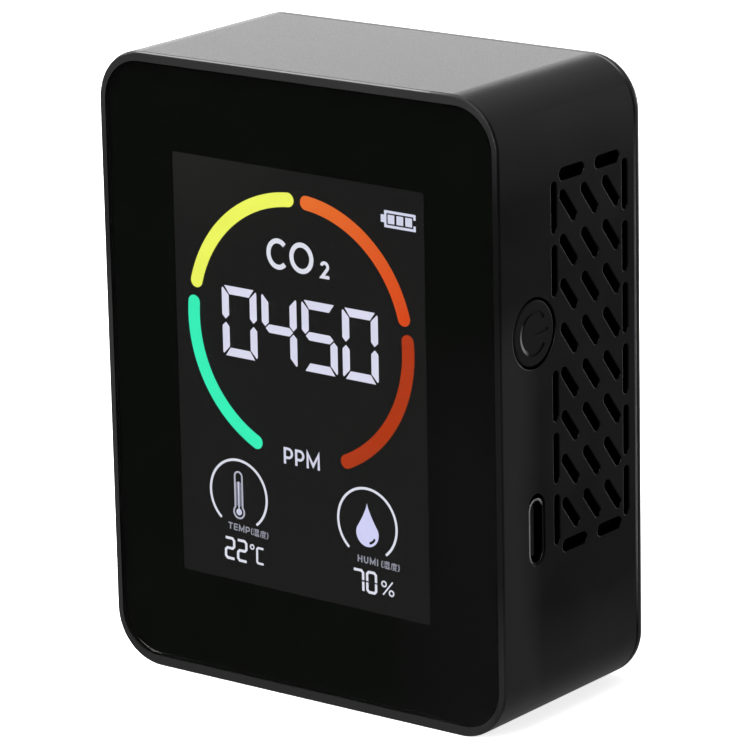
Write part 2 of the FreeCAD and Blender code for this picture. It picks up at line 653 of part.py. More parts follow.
def make_screws(name, kind, places, seat):
    """Cross-slotted pan head screws that point forward from the seat."""
    head_radius, head_height = size[f"{kind}_head_radius"], size[f"{kind}_head_height"]
    shank_radius, shank_length = size[f"{kind}_radius"], size[f"{kind}_length"]
    arm, depth, half = head_radius * 0.62, head_height * 0.6, size["cross_half_width"]
    slot_y = (seat + head_height - depth, seat + head_height + 0.1)
    screws = []
    for k, (x, z) in enumerate(places):
        head = rod(f"{name}_head_{k}", "y", head_radius, seat, seat + head_height, (x, z))
        shank = rod(f"{name}_shank_{k}", "y", shank_radius, seat - shank_length, seat, (x, z))
        level = block(f"{name}_level_{k}", (x - arm, x + arm), slot_y, (z - half, z + half))
        upright = block(f"{name}_upright_{k}", (x - half, x + half), slot_y, (z - arm, z + arm))
        screws.append(cut(f"{name}_{k}", fuse(f"{name}_solid_{k}", [head, shank]), [level, upright]))
    return keep(group(name, screws), name)


def make_lens():
    body = new_body("display_lens")
    face = front + size["lens_recess"]
    outline = new_sketch(body, "XZ_Plane", -face)
    rim_rectangle(outline, size["lens_play"])
    extrude(body, "Pad", outline, size["lens_thickness"], reverse=True)
    dress(body, "Chamfer", "Size", size["lens_edge"], lambda edge: lies_at(edge, "y", face))
    return keep(body, "display_lens")


def make_lens_adhesive():
    body = new_body("lens_adhesive")
    outline = new_sketch(body, "XZ_Plane", -lens_back)
    gap = size["lens_play"] * 2
    rim_rectangle(outline, gap)
    rim_rectangle(outline, size["tape_width"] + gap)
    extrude(body, "Pad", outline, size["tape_thickness"], reverse=True)
    return keep(body, "lens_adhesive")


# ---- The display ----

def make_display():
    half = size["display_width"] / 2
    glass_half = half - size["glass_inset"]
    glass = block("lcd_glass", (-glass_half, glass_half), (display_front, display_middle),
                  (size["display_low"] + size["glass_foot"], display_high))
    keep(glass, "lcd_glass")
    frame = block("lcd_backlight", (-half, half), (display_middle, display_back),
                  (size["display_low"], display_high))
    keep(frame, "lcd_backlight")


def make_flex():
    """A ribbon that leaves the glass downward and turns round the board's lower edge."""
    body = new_body("lcd_flex")
    sketch = new_sketch(body, "YZ_Plane", -size["flex_half_width"])
    thickness = size["flex_thickness"]
    turn_z = size["display_low"] - size["flex_turn"]
    front_leg = display_middle - thickness * 1.5
    rear_leg = board_rear + thickness * 2
    turn_y = (front_leg + rear_leg) / 2
    outer = (rear_leg - front_leg) / 2 + thickness / 2
    front_top = size["display_low"] + size["glass_foot"] - thickness / 2
    profile_strip(sketch, turn_y, turn_z, outer, thickness, front_top, size["flex_end"])
    extrude(body, "Pad", sketch, size["flex_half_width"] * 2)
    return keep(body, "lcd_flex")


def profile_strip(sketch, turn_y, turn_z, outer, thickness, front_top, rear_top):
    """A U outline: two upright legs joined below by a half turn."""
    inner = outer - thickness
    centre = FreeCAD.Vector(turn_y.number, turn_z.number, 0)
    arcs = []
    for radius in (outer, inner):
        ring = Part.Circle(centre, FreeCAD.Vector(0, 0, 1), radius.number)
        arcs.append(sketch.addGeometry(Part.ArcOfCircle(ring, math.pi, 2 * math.pi)))
        constrain(sketch, "Radius", (arcs[-1],), radius)
        constrain(sketch, "DistanceX", (-1, 1, arcs[-1], 3), turn_y)
        constrain(sketch, "DistanceY", (-1, 1, arcs[-1], 3), turn_z)
    for end, leg_top in ((1, front_top), (2, rear_top)):
        tops = []
        for arc in arcs:
            foot = sketch.getPoint(arc, end)
            tip = FreeCAD.Vector(foot.x, leg_top.number, 0)
            line = sketch.addGeometry(Part.LineSegment(foot, tip))
            sketch.addConstraint(Sketcher.Constraint("Tangent", line, 1, arc, end))
            sketch.addConstraint(Sketcher.Constraint("Vertical", line))
            constrain(sketch, "DistanceY", (-1, 1, line, 2), leg_top)
            tops.append(line)
        cap = sketch.addGeometry(Part.LineSegment(sketch.getPoint(tops[0], 2), sketch.getPoint(tops[1], 2)))
        sketch.addConstraint(Sketcher.Constraint("Coincident", cap, 1, tops[0], 2))
        sketch.addConstraint(Sketcher.Constraint("Coincident", cap, 2, tops[1], 2))


# ---- The main board and what is soldered to it ----

def make_main_board():
    body = new_body("main_board")
    outline = new_sketch(body, "XZ_Plane", -board_front)
    rounded_rectangle(outline, (-board_right, board_right), (size["board_low"], size["board_high"]),
                      size["board_corner"])
    for x, z in four_places(size["board_post_x"], size["board_post_low"], size["board_post_high"]):
        circle(outline, x, z, size["board_hole_radius"])
    extrude(body, "Pad", outline, size["board_thickness"], reverse=True)
    return keep(body, "main_board")


def make_board_parts():
    """Low blocks on the rear face of the main board, given by x, height and z."""
    parts = {
        "flex_connector": ((-11, 11), 1.3, (12, 15.5)),
        "processor": ((-10, -3), 0.9, (36, 43)),
        "charger_chip": ((14, 17), 0.9, (21, 24)),
        "power_inductor": ((13, 17), 2.0, (14.5, 18.5)),
        "climate_sensor": ((-27.5, -24.5), 0.9, (40, 43)),
    }
    for name, (x, height, z) in parts.items():
        keep(block(name, x, (board_rear, board_rear + height), z), name)


def make_usb_socket():
    """USB-C socket: a metal shell, and the moulding that carries its tongue."""
    mouth = right - size["port_sink"]
    start = mouth - size["port_depth"]
    half = (size["port_length"] - size["port_width"]) / 2
    ends = ((port_y, size["port_z"] - half), (port_y, size["port_z"] + half))
    inner_radius = size["port_width"] / 2 - size["port_metal"]

    shell = new_body("usb_shell")
    outline = new_sketch(shell, "YZ_Plane", start)
    obround(outline, *ends, size["port_width"] / 2)
    obround(outline, *ends, inner_radius)
    extrude(shell, "Pad", outline, size["port_depth"])
    dress(shell, "Fillet", "Radius", size["port_edge"], lambda edge: lies_at(edge, "x", mouth))
    keep(shell, "usb_shell")

    tongue = new_body("usb_tongue")
    plug = new_sketch(tongue, "YZ_Plane", start)
    obround(plug, *ends, inner_radius)
    extrude(tongue, "Pad", plug, size["port_floor"])
    blade = new_sketch(tongue, "YZ_Plane", start + size["port_floor"])
    thick, wide = size["tongue_half_thickness"], size["tongue_half_width"]
    rectangle(blade, (port_y - thick, port_y + thick), (size["port_z"] - wide, size["port_z"] + wide))
    extrude(tongue, "Pad", blade, size["port_depth"] - size["port_floor"] - size["tongue_sink"])
    keep(tongue, "usb_tongue")


# ---- The power button and the switch behind it ----

def make_power_button():
    """Round cap with a power mark cut in it, a flange behind the wall and a stem."""
    body = new_body("power_button")
    z = size["button_z"]
    cap_face = right - size["button_sink"]
    flange_outer = inner_right - size["flange_play"]
    flange_inner = flange_outer - size["flange_thickness"]

    cap = new_sketch(body, "YZ_Plane", flange_outer)
    circle(cap, button_y, z, size["button_radius"])
    extrude(body, "Pad", cap, cap_face - flange_outer)
    dress(body, "Fillet", "Radius", size["button_edge"], lambda edge: lies_at(edge, "x", cap_face))
    flange = new_sketch(body, "YZ_Plane", flange_outer)
    rectangle(flange, (front_inside + 0.3, button_y + size["flange_back"]),
              (z - size["flange_half_height"], z + size["flange_half_height"]))
    extrude(body, "Pad", flange, size["flange_thickness"], reverse=True)
    stem = new_sketch(body, "YZ_Plane", flange_inner)
    circle(stem, button_y, z, size["stem_radius"])
    extrude(body, "Pad", stem, size["stem_length"], reverse=True)
    cut_power_mark(body, cap_face)
    return keep(body, "power_button")


def cut_power_mark(body, cap_face):
    """An open ring with its gap toward the back, and a short bar through the gap."""
    z = size["button_z"]
    ring = new_sketch(body, "YZ_Plane", cap_face)
    half_gap = math.radians(38)
    radii = (size["mark_radius"] + size["mark_half_line"], size["mark_radius"] - size["mark_half_line"])
    centre = FreeCAD.Vector(button_y.number, z.number, 0)
    arcs = []
    for radius in radii:
        shape = Part.Circle(centre, FreeCAD.Vector(0, 0, 1), radius.number)
        arcs.append(ring.addGeometry(Part.ArcOfCircle(shape, half_gap, 2 * math.pi - half_gap)))
        constrain(ring, "Radius", (arcs[-1],), radius)
        constrain(ring, "DistanceX", (-1, 1, arcs[-1], 3), button_y)
        constrain(ring, "DistanceY", (-1, 1, arcs[-1], 3), z)
    for end, side in ((1, 1), (2, -1)):
        caps = ring.addGeometry(Part.LineSegment(ring.getPoint(arcs[0], end), ring.getPoint(arcs[1], end)))
        ring.addConstraint(Sketcher.Constraint("Coincident", caps, 1, arcs[0], end))
        ring.addConstraint(Sketcher.Constraint("Coincident", caps, 2, arcs[1], end))
        for arc, radius in zip(arcs, radii):
            constrain(ring, "DistanceY", (-1, 1, arc, end), z + radius * (side * math.sin(half_gap)))
    extrude(body, "Pocket", ring, size["mark_depth"])
    bar = new_sketch(body, "YZ_Plane", cap_face)
    obround(bar, (button_y + size["mark_bar_start"], z), (button_y + size["mark_bar_end"], z),
            size["mark_half_line"])
    extrude(body, "Pocket", bar, size["mark_depth"])


def make_switch():
    """Side-push tactile switch: moulded base, cover plate, snap dome and plunger."""
    z, half = size["button_z"], size["switch_half_height"]
    axis = (button_y, z)
    face = size["switch_face"]
    dome_seat = size["switch_left"] + size["switch_floor"]
    dome_front = dome_seat + size["dome_room"]
    y = (board_rear, board_rear + size["switch_depth"])
    bore_radius = size["switch_bore_radius"]
    outer = block("switch_outer", (size["switch_left"], face), y, (z - half, z + half))
    bore = rod("switch_bore", "x", bore_radius, dome_front - 0.1, face + 0.1, axis)
    hollow = rod("switch_hollow", "x", size["dome_room_radius"], dome_seat, dome_front, axis)
    keep(cut("switch_base", outer, [bore, hollow]), "switch_base")

    plate = block("switch_plate", (face, face + size["switch_cover_thickness"]), (y[0] + 0.1, y[1]),
                  (z - half, z + half))
    hole = rod("switch_plate_hole", "x", bore_radius, face - 0.1, face + 0.3, axis)
    keep(cut("switch_cover", plate, [hole]), "switch_cover")

    dome_end = dome_seat + size["dome_thickness"]
    keep(rod("dome_outer", "x", size["dome_radius"], dome_seat, dome_end, axis), "switch_dome")
    plunger = rod("plunger_rod", "x", size["plunger_radius"], dome_front + size["button_travel"],
                  face + size["plunger_reach"], axis)
    keep(plunger, "switch_plunger")


# ---- The carbon dioxide sensor ----

def make_sensor():
    """The sensor board with its header, the gas chamber, the membrane, lamp and detector."""
    keep(block("sensor_board", (size["sensor_left"], sensor_right), (sensor_face, sensor_board_rear),
               (size["sensor_low"], sensor_high)), "sensor_board")
    header_left = size["sensor_left"] + size["header_inset"]
    header_low = size["sensor_low"] + size["header_low"]
    keep(block("sensor_header", (header_left, header_left + size["header_width"]),
               (board_rear, sensor_face), (header_low, header_low + size["header_length"])), "sensor_header")
    make_chamber()

    membrane_low = chamber_low + size["membrane_low"]
    inset = size["membrane_inset"]
    keep(block("sensor_membrane", (chamber_left + inset, chamber_right - inset),
               (chamber_rear, chamber_rear + size["membrane_thickness"]),
               (membrane_low, membrane_low + size["membrane_height"])), "sensor_membrane")

    middle = (chamber_left + chamber_right) / 2
    keep(rod("infrared_lamp", "y", size["lamp_radius"], sensor_board_rear,
             sensor_board_rear + size["lamp_length"], (middle, chamber_low + size["lamp_low"])),
         "infrared_lamp")
    keep(rod("infrared_detector", "y", size["detector_radius"], sensor_board_rear,
             sensor_board_rear + size["detector_length"], (middle, chamber_high - size["detector_drop"])),
         "infrared_detector")


def make_chamber():
    """A thin box open toward the sensor board, with three windows in its rear."""
    wall = size["chamber_wall"]
    shell = block("chamber_outer", (chamber_left, chamber_right), (sensor_board_rear, chamber_rear),
                  (chamber_low, chamber_high))
    hollow = block("chamber_hollow", (chamber_left + wall, chamber_right - wall),
                   (sensor_board_rear - 0.1, chamber_rear - wall), (chamber_low + wall, chamber_high - wall))
    inset = size["chamber_window_inset"]
    windows = []
    for k in range(3):
        low = chamber_low + size["chamber_window_low"] + size["chamber_window_pitch"] * k
        windows.append(block(f"chamber_window_{k}", (chamber_left + inset, chamber_right - inset),
                             (chamber_rear - wall - 0.1, chamber_rear + 0.1),
                             (low, low + size["chamber_window_height"])))
    keep(cut("sensor_chamber", shell, [hollow] + windows), "sensor_chamber")


# ---- The battery ----

def make_lead(name, x, start, end):
    """One battery lead: back from the plug, round one bend, down to the cell's board."""
    (start_y, high), (rear_y, low) = start, end
    low, high, rear_y, start_y = [as_dim(value).number for value in (low, high, rear_y, start_y)]
    bend = size["lead_bend"].number
    ease = bend * (1 - math.sqrt(0.5))
    corner = [FreeCAD.Vector(x, rear_y - bend, high),
              FreeCAD.Vector(x, rear_y - ease, high - ease),
              FreeCAD.Vector(x, rear_y, high - bend)]
    path = Part.Wire([Part.LineSegment(FreeCAD.Vector(x, start_y, high), corner[0]).toShape(),
                      Part.Arc(*corner).toShape(),
                      Part.LineSegment(corner[2], FreeCAD.Vector(x, rear_y, low)).toShape()])
    section = Part.Wire([Part.Circle(FreeCAD.Vector(x, start_y, high), FreeCAD.Vector(0, 1, 0),
                                      size["lead_radius"].number).toShape()])
    lead = document.addObject("Part::Feature", name)
    lead.Shape = path.makePipeShell([section], True, False)
    return lead


def make_battery():
    left = -size["battery_left"]
    body = block("battery_block", (left, battery_right), (battery_front, battery_rear),
                 (size["battery_low"], battery_high))
    document.recompute()
    corner = size["battery_corner"].number
    cell = document.addObject("Part::Fillet", "battery_cell")
    cell.Base = body
    cell.Edges = [(k + 1, corner, corner) for k, edge in enumerate(body.Shape.Edges)
                  if edge.BoundBox.ZLength > corner * 2]
    keep(cell, "battery_cell")
    side, end = size["pad_inset_side"], size["pad_inset_end"]
    keep(block("battery_pad", (left + side, battery_right - side), (battery_rear, seam),
               (size["battery_low"] + end, battery_high - end)), "battery_pad")
    circuit_front = battery_front + size["circuit_inset"]
    circuit_high = battery_high + size["circuit_height"]
    keep(block("battery_circuit", (-24, -4), (circuit_front, circuit_front + size["circuit_depth"]),
               (battery_high, circuit_high)), "battery_circuit")
    make_battery_plug(circuit_front + size["circuit_lead_depth"], circuit_high)


def make_battery_plug(lead_y, lead_low):
    """Socket on the main board, plug, and the two leads down to the protection board."""
    z = size["plug_z"]
    plug_front = board_rear + size["socket_depth"]
    plug_rear = plug_front + size["plug_depth"]
    socket_half, plug_half = size["socket_half_height"], size["plug_half_height"]
    keep(block("battery_socket", (-14, -6), (board_rear, plug_front), (z - socket_half, z + socket_half)),
         "battery_socket")
    keep(block("battery_plug", (-13, -7), (plug_front, plug_rear), (z - plug_half, z + plug_half)),
         "battery_plug")
    leads = [make_lead(f"battery_lead_{k}", x, (plug_rear, z), (lead_y, lead_low))
             for k, x in enumerate((-11.0, -9.0))]
    keep(group("battery_leads", leads), "battery_leads")


def make_dust_screens():
    """Thin woven screens stuck behind the two grilles."""
    y = (button_y + size["button_radius"] + size["screen_gap"], seam - size["screen_gap"])
    z = (size["grille_z"] - size["screen_half_height"], size["grille_z"] + size["screen_half_height"])
    depth = size["screen_thickness"]
    keep(block("dust_screen_right", (inner_right - depth, inner_right), y, z), "dust_screen_right")
    keep(block("dust_screen_left", (-inner_right, -inner_right + depth), y, z), "dust_screen_left")


def check_and_export():
    document.recompute()
    for item in document.Objects:
        problems = [word for word in item.State if word in ("Invalid", "Error")]
        if problems:
            raise RuntimeError(f"{item.Name} ({item.Label}) is in state {problems}")
    for node in nodes:
        if node.Shape.isNull() or not node.Shape.isValid():
            raise RuntimeError(f"{node.Label} has no valid shape")
    os.makedirs("parts", exist_ok=True)
    for node in nodes:
        node.Shape.exportStep(f"parts/{node.Label}.step")
        box = node.Shape.BoundBox
        print(f"{node.Label:18s} solids {len(node.Shape.Solids)} volume {node.Shape.Volume:9.2f}"
              f"  x {box.XMin:7.2f} {box.XMax:7.2f}  y {box.YMin:7.2f} {box.YMax:7.2f}"
              f"  z {box.ZMin:6.2f} {box.ZMax:6.2f}")


make_front_housing()
make_rear_cover()
make_screws("cover_screws", "cover_screw",
            four_places(size["cover_post_x"], size["cover_post_edge"], cover_post_high),
            back - size["cover_head_depth"])
make_lens()
make_lens_adhesive()
make_display()
make_flex()
make_main_board()
make_screws("board_screws", "board_screw",
            four_places(size["board_post_x"], size["board_post_low"], size["board_post_high"]),
            board_rear)
make_board_parts()
make_usb_socket()
make_power_button()
make_switch()
make_sensor()
make_battery()
make_dust_screens()
check_and_export()
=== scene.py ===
import json
import math

import bmesh
import bpy
from mathutils import Matrix, Vector


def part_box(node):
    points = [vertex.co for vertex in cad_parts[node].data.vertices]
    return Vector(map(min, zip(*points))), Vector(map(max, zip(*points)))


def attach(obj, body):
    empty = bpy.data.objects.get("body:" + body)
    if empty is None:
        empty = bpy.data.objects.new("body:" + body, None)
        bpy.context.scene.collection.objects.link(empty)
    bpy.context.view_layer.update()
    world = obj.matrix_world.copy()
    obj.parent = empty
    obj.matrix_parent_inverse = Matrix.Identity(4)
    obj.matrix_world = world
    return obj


MM = 0.001
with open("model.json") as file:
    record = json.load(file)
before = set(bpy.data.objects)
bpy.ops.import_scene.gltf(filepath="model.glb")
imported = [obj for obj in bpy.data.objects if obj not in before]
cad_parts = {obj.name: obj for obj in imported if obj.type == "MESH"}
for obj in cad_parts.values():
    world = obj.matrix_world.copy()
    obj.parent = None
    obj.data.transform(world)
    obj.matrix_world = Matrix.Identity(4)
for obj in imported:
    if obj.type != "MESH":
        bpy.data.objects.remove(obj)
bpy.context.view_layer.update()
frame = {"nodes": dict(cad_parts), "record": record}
nodes = frame["nodes"]
MIX_COLOURS, MIX_VECTORS = (6, 7), (4, 5)   # a Mix node's two inputs for each kind of data
COLOUR_RESULT, VECTOR_RESULT = 2, 1         # and its output


# ---- Colour and node helpers ----

def linear(r, g, b):
    """Linear colour from display values of 0 to 255."""
    def channel(value):
        value /= 255
        return value / 12.92 if value <= 0.04045 else ((value + 0.055) / 1.055) ** 2.4
    return (channel(r), channel(g), channel(b), 1.0)


def grey(level):
    return (level, level, level, 1)


def scaled(colour, factor):
    return tuple(c * factor for c in colour[:3]) + (1.0,)


class Shader:
    """A Principled material that is put together from small procedural blocks."""

    def __init__(self, name):
        self.material = bpy.data.materials.new(name)
        self.material.use_nodes = True
        self.tree = self.material.node_tree
        self.surface = self.tree.nodes["Principled BSDF"]
        self.place = self.node("ShaderNodeTexCoord").outputs["Object"]
        self.height = None

    def node(self, kind, **values):
        made = self.tree.nodes.new(kind)
        for key, value in values.items():
            if hasattr(made, key):
                setattr(made, key, value)
            else:
                made.inputs[key.replace("_", " ")].default_value = value
        return made

    def link(self, source, target):
        self.tree.links.new(source, target)

    def stretched(self, scale):
        """Object coordinates, squeezed along some axes."""
        mapping = self.node("ShaderNodeMapping")
        mapping.inputs["Scale"].default_value = scale
        self.link(self.place, mapping.inputs["Vector"])
        return mapping.outputs["Vector"]

    def noise(self, size, detail=2.0, stretch=None):
        """Noise whose features are about size metres across."""
        made = self.node("ShaderNodeTexNoise", Scale=1 / size, Detail=detail)
        self.link(self.stretched(stretch) if stretch else self.place, made.inputs["Vector"])
        return made.outputs["Fac"]

    def spread(self, source, low, high, start=0.3, end=0.7):
        """Maps a 0..1 value onto low..high."""
        made = self.node("ShaderNodeMapRange")
        for name, value in (("From Min", start), ("From Max", end), ("To Min", low), ("To Max", high)):
            made.inputs[name].default_value = value
        self.link(source, made.inputs["Value"])
        return made.outputs["Result"]

    def blend(self, source, first, second, target):
        """Colour between first and second, by source, into a socket of the surface."""
        made = self.node("ShaderNodeMix", data_type="RGBA")
        for socket, colour in zip(MIX_COLOURS, (first, second)):
            made.inputs[socket].default_value = colour
        self.link(source, made.inputs[0])
        self.link(made.outputs[COLOUR_RESULT], self.surface.inputs[target])

    def combined(self, first, second, operation):
        made = self.node("ShaderNodeMath", operation=operation)
        self.link(first, made.inputs[0])
        self.link(second, made.inputs[1])
        return made.outputs["Value"]

    def product(self, first, second):
        return self.combined(first, second, "MULTIPLY")

    def sum(self, first, second):
        return self.combined(first, second, "ADD")

    def within(self, low, high):
        """1 inside the box between two points, in metres, and 0 outside."""
        split = self.node("ShaderNodeSeparateXYZ")
        self.link(self.place, split.inputs["Vector"])
        tests = []
        for axis, a, b in zip("XYZ", low, high):
            test = self.node("ShaderNodeMath", operation="COMPARE")
            test.inputs[1].default_value = (a + b) / 2
            test.inputs[2].default_value = (b - a) / 2
            self.link(split.outputs[axis], test.inputs[0])
            tests.append(test.outputs["Value"])
        return self.product(self.product(tests[0], tests[1]), tests[2])

    def axes(self):
        """The three coordinates of the point that is shaded, in metres."""
        split = self.node("ShaderNodeSeparateXYZ")
        self.link(self.place, split.inputs["Vector"])
        return split.outputs["X"], split.outputs["Y"], split.outputs["Z"]

    def shade(self, factor):
        """Scales the base colour that is linked so far."""
        made = self.node("ShaderNodeVectorMath", operation="SCALE")
        self.link(self.surface.inputs["Base Color"].links[0].from_socket, made.inputs["Vector"])
        self.link(factor, made.inputs["Scale"])
        self.link(made.outputs["Vector"], self.surface.inputs["Base Color"])

    def cover(self, share, colour):
        """Lays a second colour over the base colour that is linked so far."""
        made = self.node("ShaderNodeMix", data_type="RGBA")
        under, over = MIX_COLOURS
        self.link(self.surface.inputs["Base Color"].links[0].from_socket, made.inputs[under])
        made.inputs[over].default_value = colour
        self.link(share, made.inputs[0])
        self.link(made.outputs[COLOUR_RESULT], self.surface.inputs["Base Color"])

    def bump(self, source, depth):
        """Relief of the given depth in metres."""
        made = self.node("ShaderNodeBump", Strength=1.0, Distance=depth)
        self.link(source, made.inputs["Height"])
        if self.height is not None:
            self.link(self.height, made.inputs["Normal"])
        self.height = made.outputs["Normal"]
        self.link(self.height, self.surface.inputs["Normal"])

    def soften(self, low, high, radius):
        """Edges inside a box look rounded off by a radius, in metres."""
        shape = self.node("ShaderNodeNewGeometry")
        rounded = self.node("ShaderNodeBevel", samples=8, Radius=radius)
        made = self.node("ShaderNodeMix", data_type="VECTOR")
        self.link(self.within(low, high), made.inputs[0])
        for socket, source in zip(MIX_VECTORS, (shape, rounded)):
            self.link(source.outputs["Normal"], made.inputs[socket])
        for bump in [n for n in self.tree.nodes if n.bl_idname == "ShaderNodeBump"]:
            if not bump.inputs["Normal"].is_linked:
                self.link(made.outputs[VECTOR_RESULT], bump.inputs["Normal"])


def base(name, colour, roughness, variation=0.15, metallic=0.0, specular=0.5,
         grain=0.0003, patch=0.006, relief=0.0, stretch=None):
    """Plain moulded, cast or rolled surface: mottled colour, uneven gloss and a fine relief."""
    shader = Shader(name)
    shader.surface.inputs["Metallic"].default_value = metallic
    shader.surface.inputs["Specular IOR Level"].default_value = specular
    low = scaled(colour, 1 - variation)
    high = scaled(colour, 1 + variation)
    shader.blend(shader.spread(shader.noise(patch, 3.0), 0, 1), low, high, "Base Color")
    fine = shader.noise(grain, 2.0, stretch)
    shader.link(shader.spread(fine, roughness - 0.05, roughness + 0.05), shader.surface.inputs["Roughness"])
    if relief:
        shader.bump(fine, relief)
    return shader


def moulding(name, colour, roughness):
    """Satin moulded plastic, spark-eroded and a little wavy."""
    shader = base(name, colour, roughness, variation=0.08, grain=0.00016, patch=0.012, relief=0.0000012)
    shader.bump(shader.noise(0.009, 1.0), 0.000012)
    return shader


def painted_highlight_arc(shader, radius, width, colour):
    """A painted highlight: a light line on the front lower part of a circle about the button's axis, on the
    right wall.
    """
    centre = (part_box("power_button")[0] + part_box("power_button")[1]) / 2
    axis_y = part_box("power_button")[1].y - BUTTON_REACH
    offset = shader.node("ShaderNodeVectorMath", operation="SUBTRACT")
    offset.inputs[1].default_value = (0, axis_y, centre.z)
    shader.link(shader.place, offset.inputs[0])
    flat = shader.node("ShaderNodeVectorMath", operation="MULTIPLY")
    flat.inputs[1].default_value = (0, 1, 1)
    shader.link(offset.outputs["Vector"], flat.inputs[0])
    distance = shader.node("ShaderNodeVectorMath", operation="LENGTH")
    shader.link(flat.outputs["Vector"], distance.inputs[0])
    ring = shader.node("ShaderNodeMath", operation="COMPARE")
    ring.inputs[1].default_value = radius
    ring.inputs[2].default_value = width / 2
    shader.link(distance.outputs["Value"], ring.inputs[0])
    split = shader.node("ShaderNodeSeparateXYZ")
    shader.link(flat.outputs["Vector"], split.inputs["Vector"])
    share = shader.product(shader.spread(split.outputs["Y"], 1, 0, -0.75 * radius, -0.35 * radius),
                           shader.spread(split.outputs["Z"], 1, 0, -0.2 * radius, 0.6 * radius))
    share = shader.product(share, shader.spread(shader.axes()[0], 0, 1, 0.025, 0.030))
    shader.cover(shader.product(ring.outputs["Value"], share), colour)


# Zones of the case's plastic: boxes as (low corner, high corner) and ranges, in metres.
# Inside the walls' openings, where painted shade darkens the plastic.
INSIDE_OPENINGS = (-0.03236, -0.0142, 0.010), (0.03236, 0.0139, 0.077)
GRILLE_FACE = (0.03236, -0.0056, 0.018), (0.0326, 0.0132, 0.078)
# Line along the joint of case and back cover on the right, painted as a highlight.
COVER_JOINT_HIGHLIGHT = (0.0320, 0.01395, 0.0), (0.0340, 0.01440, 0.085)
TOP_FRONT_EDGE = (-0.026, -0.01599, 0.0845), (0.022, -0.01565, 0.0851)
BETWEEN_SIDES = (-0.0315, -0.1, -0.1), (0.0315, 0.1, 0.1)
SLOT_EDGE_RADIUS = 0.00018
# Radius and width of the painted highlight arcs round the button's hole and on the button's mark.
HOLE_HIGHLIGHT_RADIUS, HOLE_HIGHLIGHT_WIDTH = 0.00476, 0.00014
MARK_HIGHLIGHT_RADIUS, MARK_HIGHLIGHT_WIDTH = 0.00275, 0.0005


def case_plastic(name, colour, roughness):
    """The case's plastic, with painted shade: near black and matt inside the walls' openings, deeper black
    toward the right.
    """
    shader = moulding(name, colour, roughness)
    x, y, z = shader.axes()
    inside = shader.within(*INSIDE_OPENINGS)
    # painted shade: near black inside the walls' openings and deeper black toward the right side
    shader.shade(shader.product(shader.spread(x, 1, 0.35, 0.0296, 0.0318),
                                shader.spread(inside, 1, 0.08, 0, 1)))
    shader.soften(*GRILLE_FACE, SLOT_EDGE_RADIUS)
    # painted highlight: a light arc round the lower front edge of the button's hole
    painted_highlight_arc(shader, HOLE_HIGHLIGHT_RADIUS, HOLE_HIGHLIGHT_WIDTH, grey(0.4))
    # painted highlight: a light grey line along the case and cover joint on the right, fading out toward top
    # and bottom
    fade = shader.product(shader.spread(z, 0, 1, 0.008, 0.020), shader.spread(z, 1, 0, 0.064, 0.078))
    shader.cover(shader.product(shader.within(*COVER_JOINT_HIGHLIGHT), fade), grey(0.28))
    gloss = shader.product(side_gloss(shader), shader.spread(inside, 1, 0.04, 0, 1))
    gloss = shader.product(gloss, shader.spread(dull_edges(shader), 1, 0.1, 0, 1))
    gloss = shader.product(gloss, shader.spread(shader.within(*TOP_FRONT_EDGE), 1, 1.9, 0, 1))
    shader.link(gloss, shader.surface.inputs["Specular IOR Level"])
    return shader


def dull_edges(shader):
    """Where the rounding round the front face is worn dull: down the right and at the top right corner."""
    x, y, z = shader.axes()
    front = shader.spread(y, 1, 0, -0.0159, -0.0155)
    right = shader.product(shader.spread(x, 0, 0.82, 0.0305, 0.0313), shader.spread(z, 1, 0, 0.066, 0.078))
    right = shader.product(right, shader.spread(z, 0, 1, 0.010, 0.022))
    corner = shader.product(shader.spread(x, 0, 1, 0.020, 0.027), shader.spread(z, 0, 1, 0.062, 0.072))
    corner = shader.product(corner, shader.spread(y, 0, 1, -0.015999, -0.01599))
    return shader.product(front, shader.combined(right, corner, "MAXIMUM"))


def side_gloss(shader):
    """Gloss of the plastic: even on the front, top and back, worn and cloudy on the two sides."""
    x, y, z = shader.axes()
    low_front = shader.product(shader.spread(z, 1, 0, 0.049, 0.058), shader.spread(y, 1, 0, -0.0130, -0.0075))
    high = shader.spread(z, 0, 0.62, 0.071, 0.079)
    foot = shader.spread(z, 0.55, 0, 0.006, 0.016)
    level = shader.spread(shader.noise(0.013, 2.0), 0.0, 0.22)
    for share in (low_front, high, foot):
        level = shader.sum(level, share)
    middle = shader.within(*BETWEEN_SIDES)
    sides = shader.product(shader.spread(level, 0.17, 0.73, 0, 1), shader.spread(middle, 1, 0, 0, 1))
    return shader.sum(sides, shader.spread(middle, 0, 0.5, 0, 1))


def button_plastic(name, colour, roughness):
    """The button's plastic, with a painted highlight on the front of its mark's ring."""
    shader = moulding(name, colour, roughness)
    shader.surface.inputs["Specular IOR Level"].default_value = 0.27
    # painted highlight: a light arc on the front of the mark's ring
    painted_highlight_arc(shader, MARK_HIGHLIGHT_RADIUS, MARK_HIGHLIGHT_WIDTH, grey(0.8))
    return shader


def port_steel(name):
    """Bright steel of the port's shell, with painted shade darkening its rear side."""
    shader = brushed(name, linear(222, 223, 226), 0.22, (0.1, 1.0, 1.0))
    x, y, z = shader.axes()
    # painted shade: the shell is darkened behind its front edge, and along its top end the darkening starts
    # further back
    moved_back = shader.sum(y, shader.spread(z, 0, -0.0022, 0.0295, 0.0303))
    shader.shade(shader.spread(moved_back, 1, 0.05, -0.0099, -0.0092))
    return shader


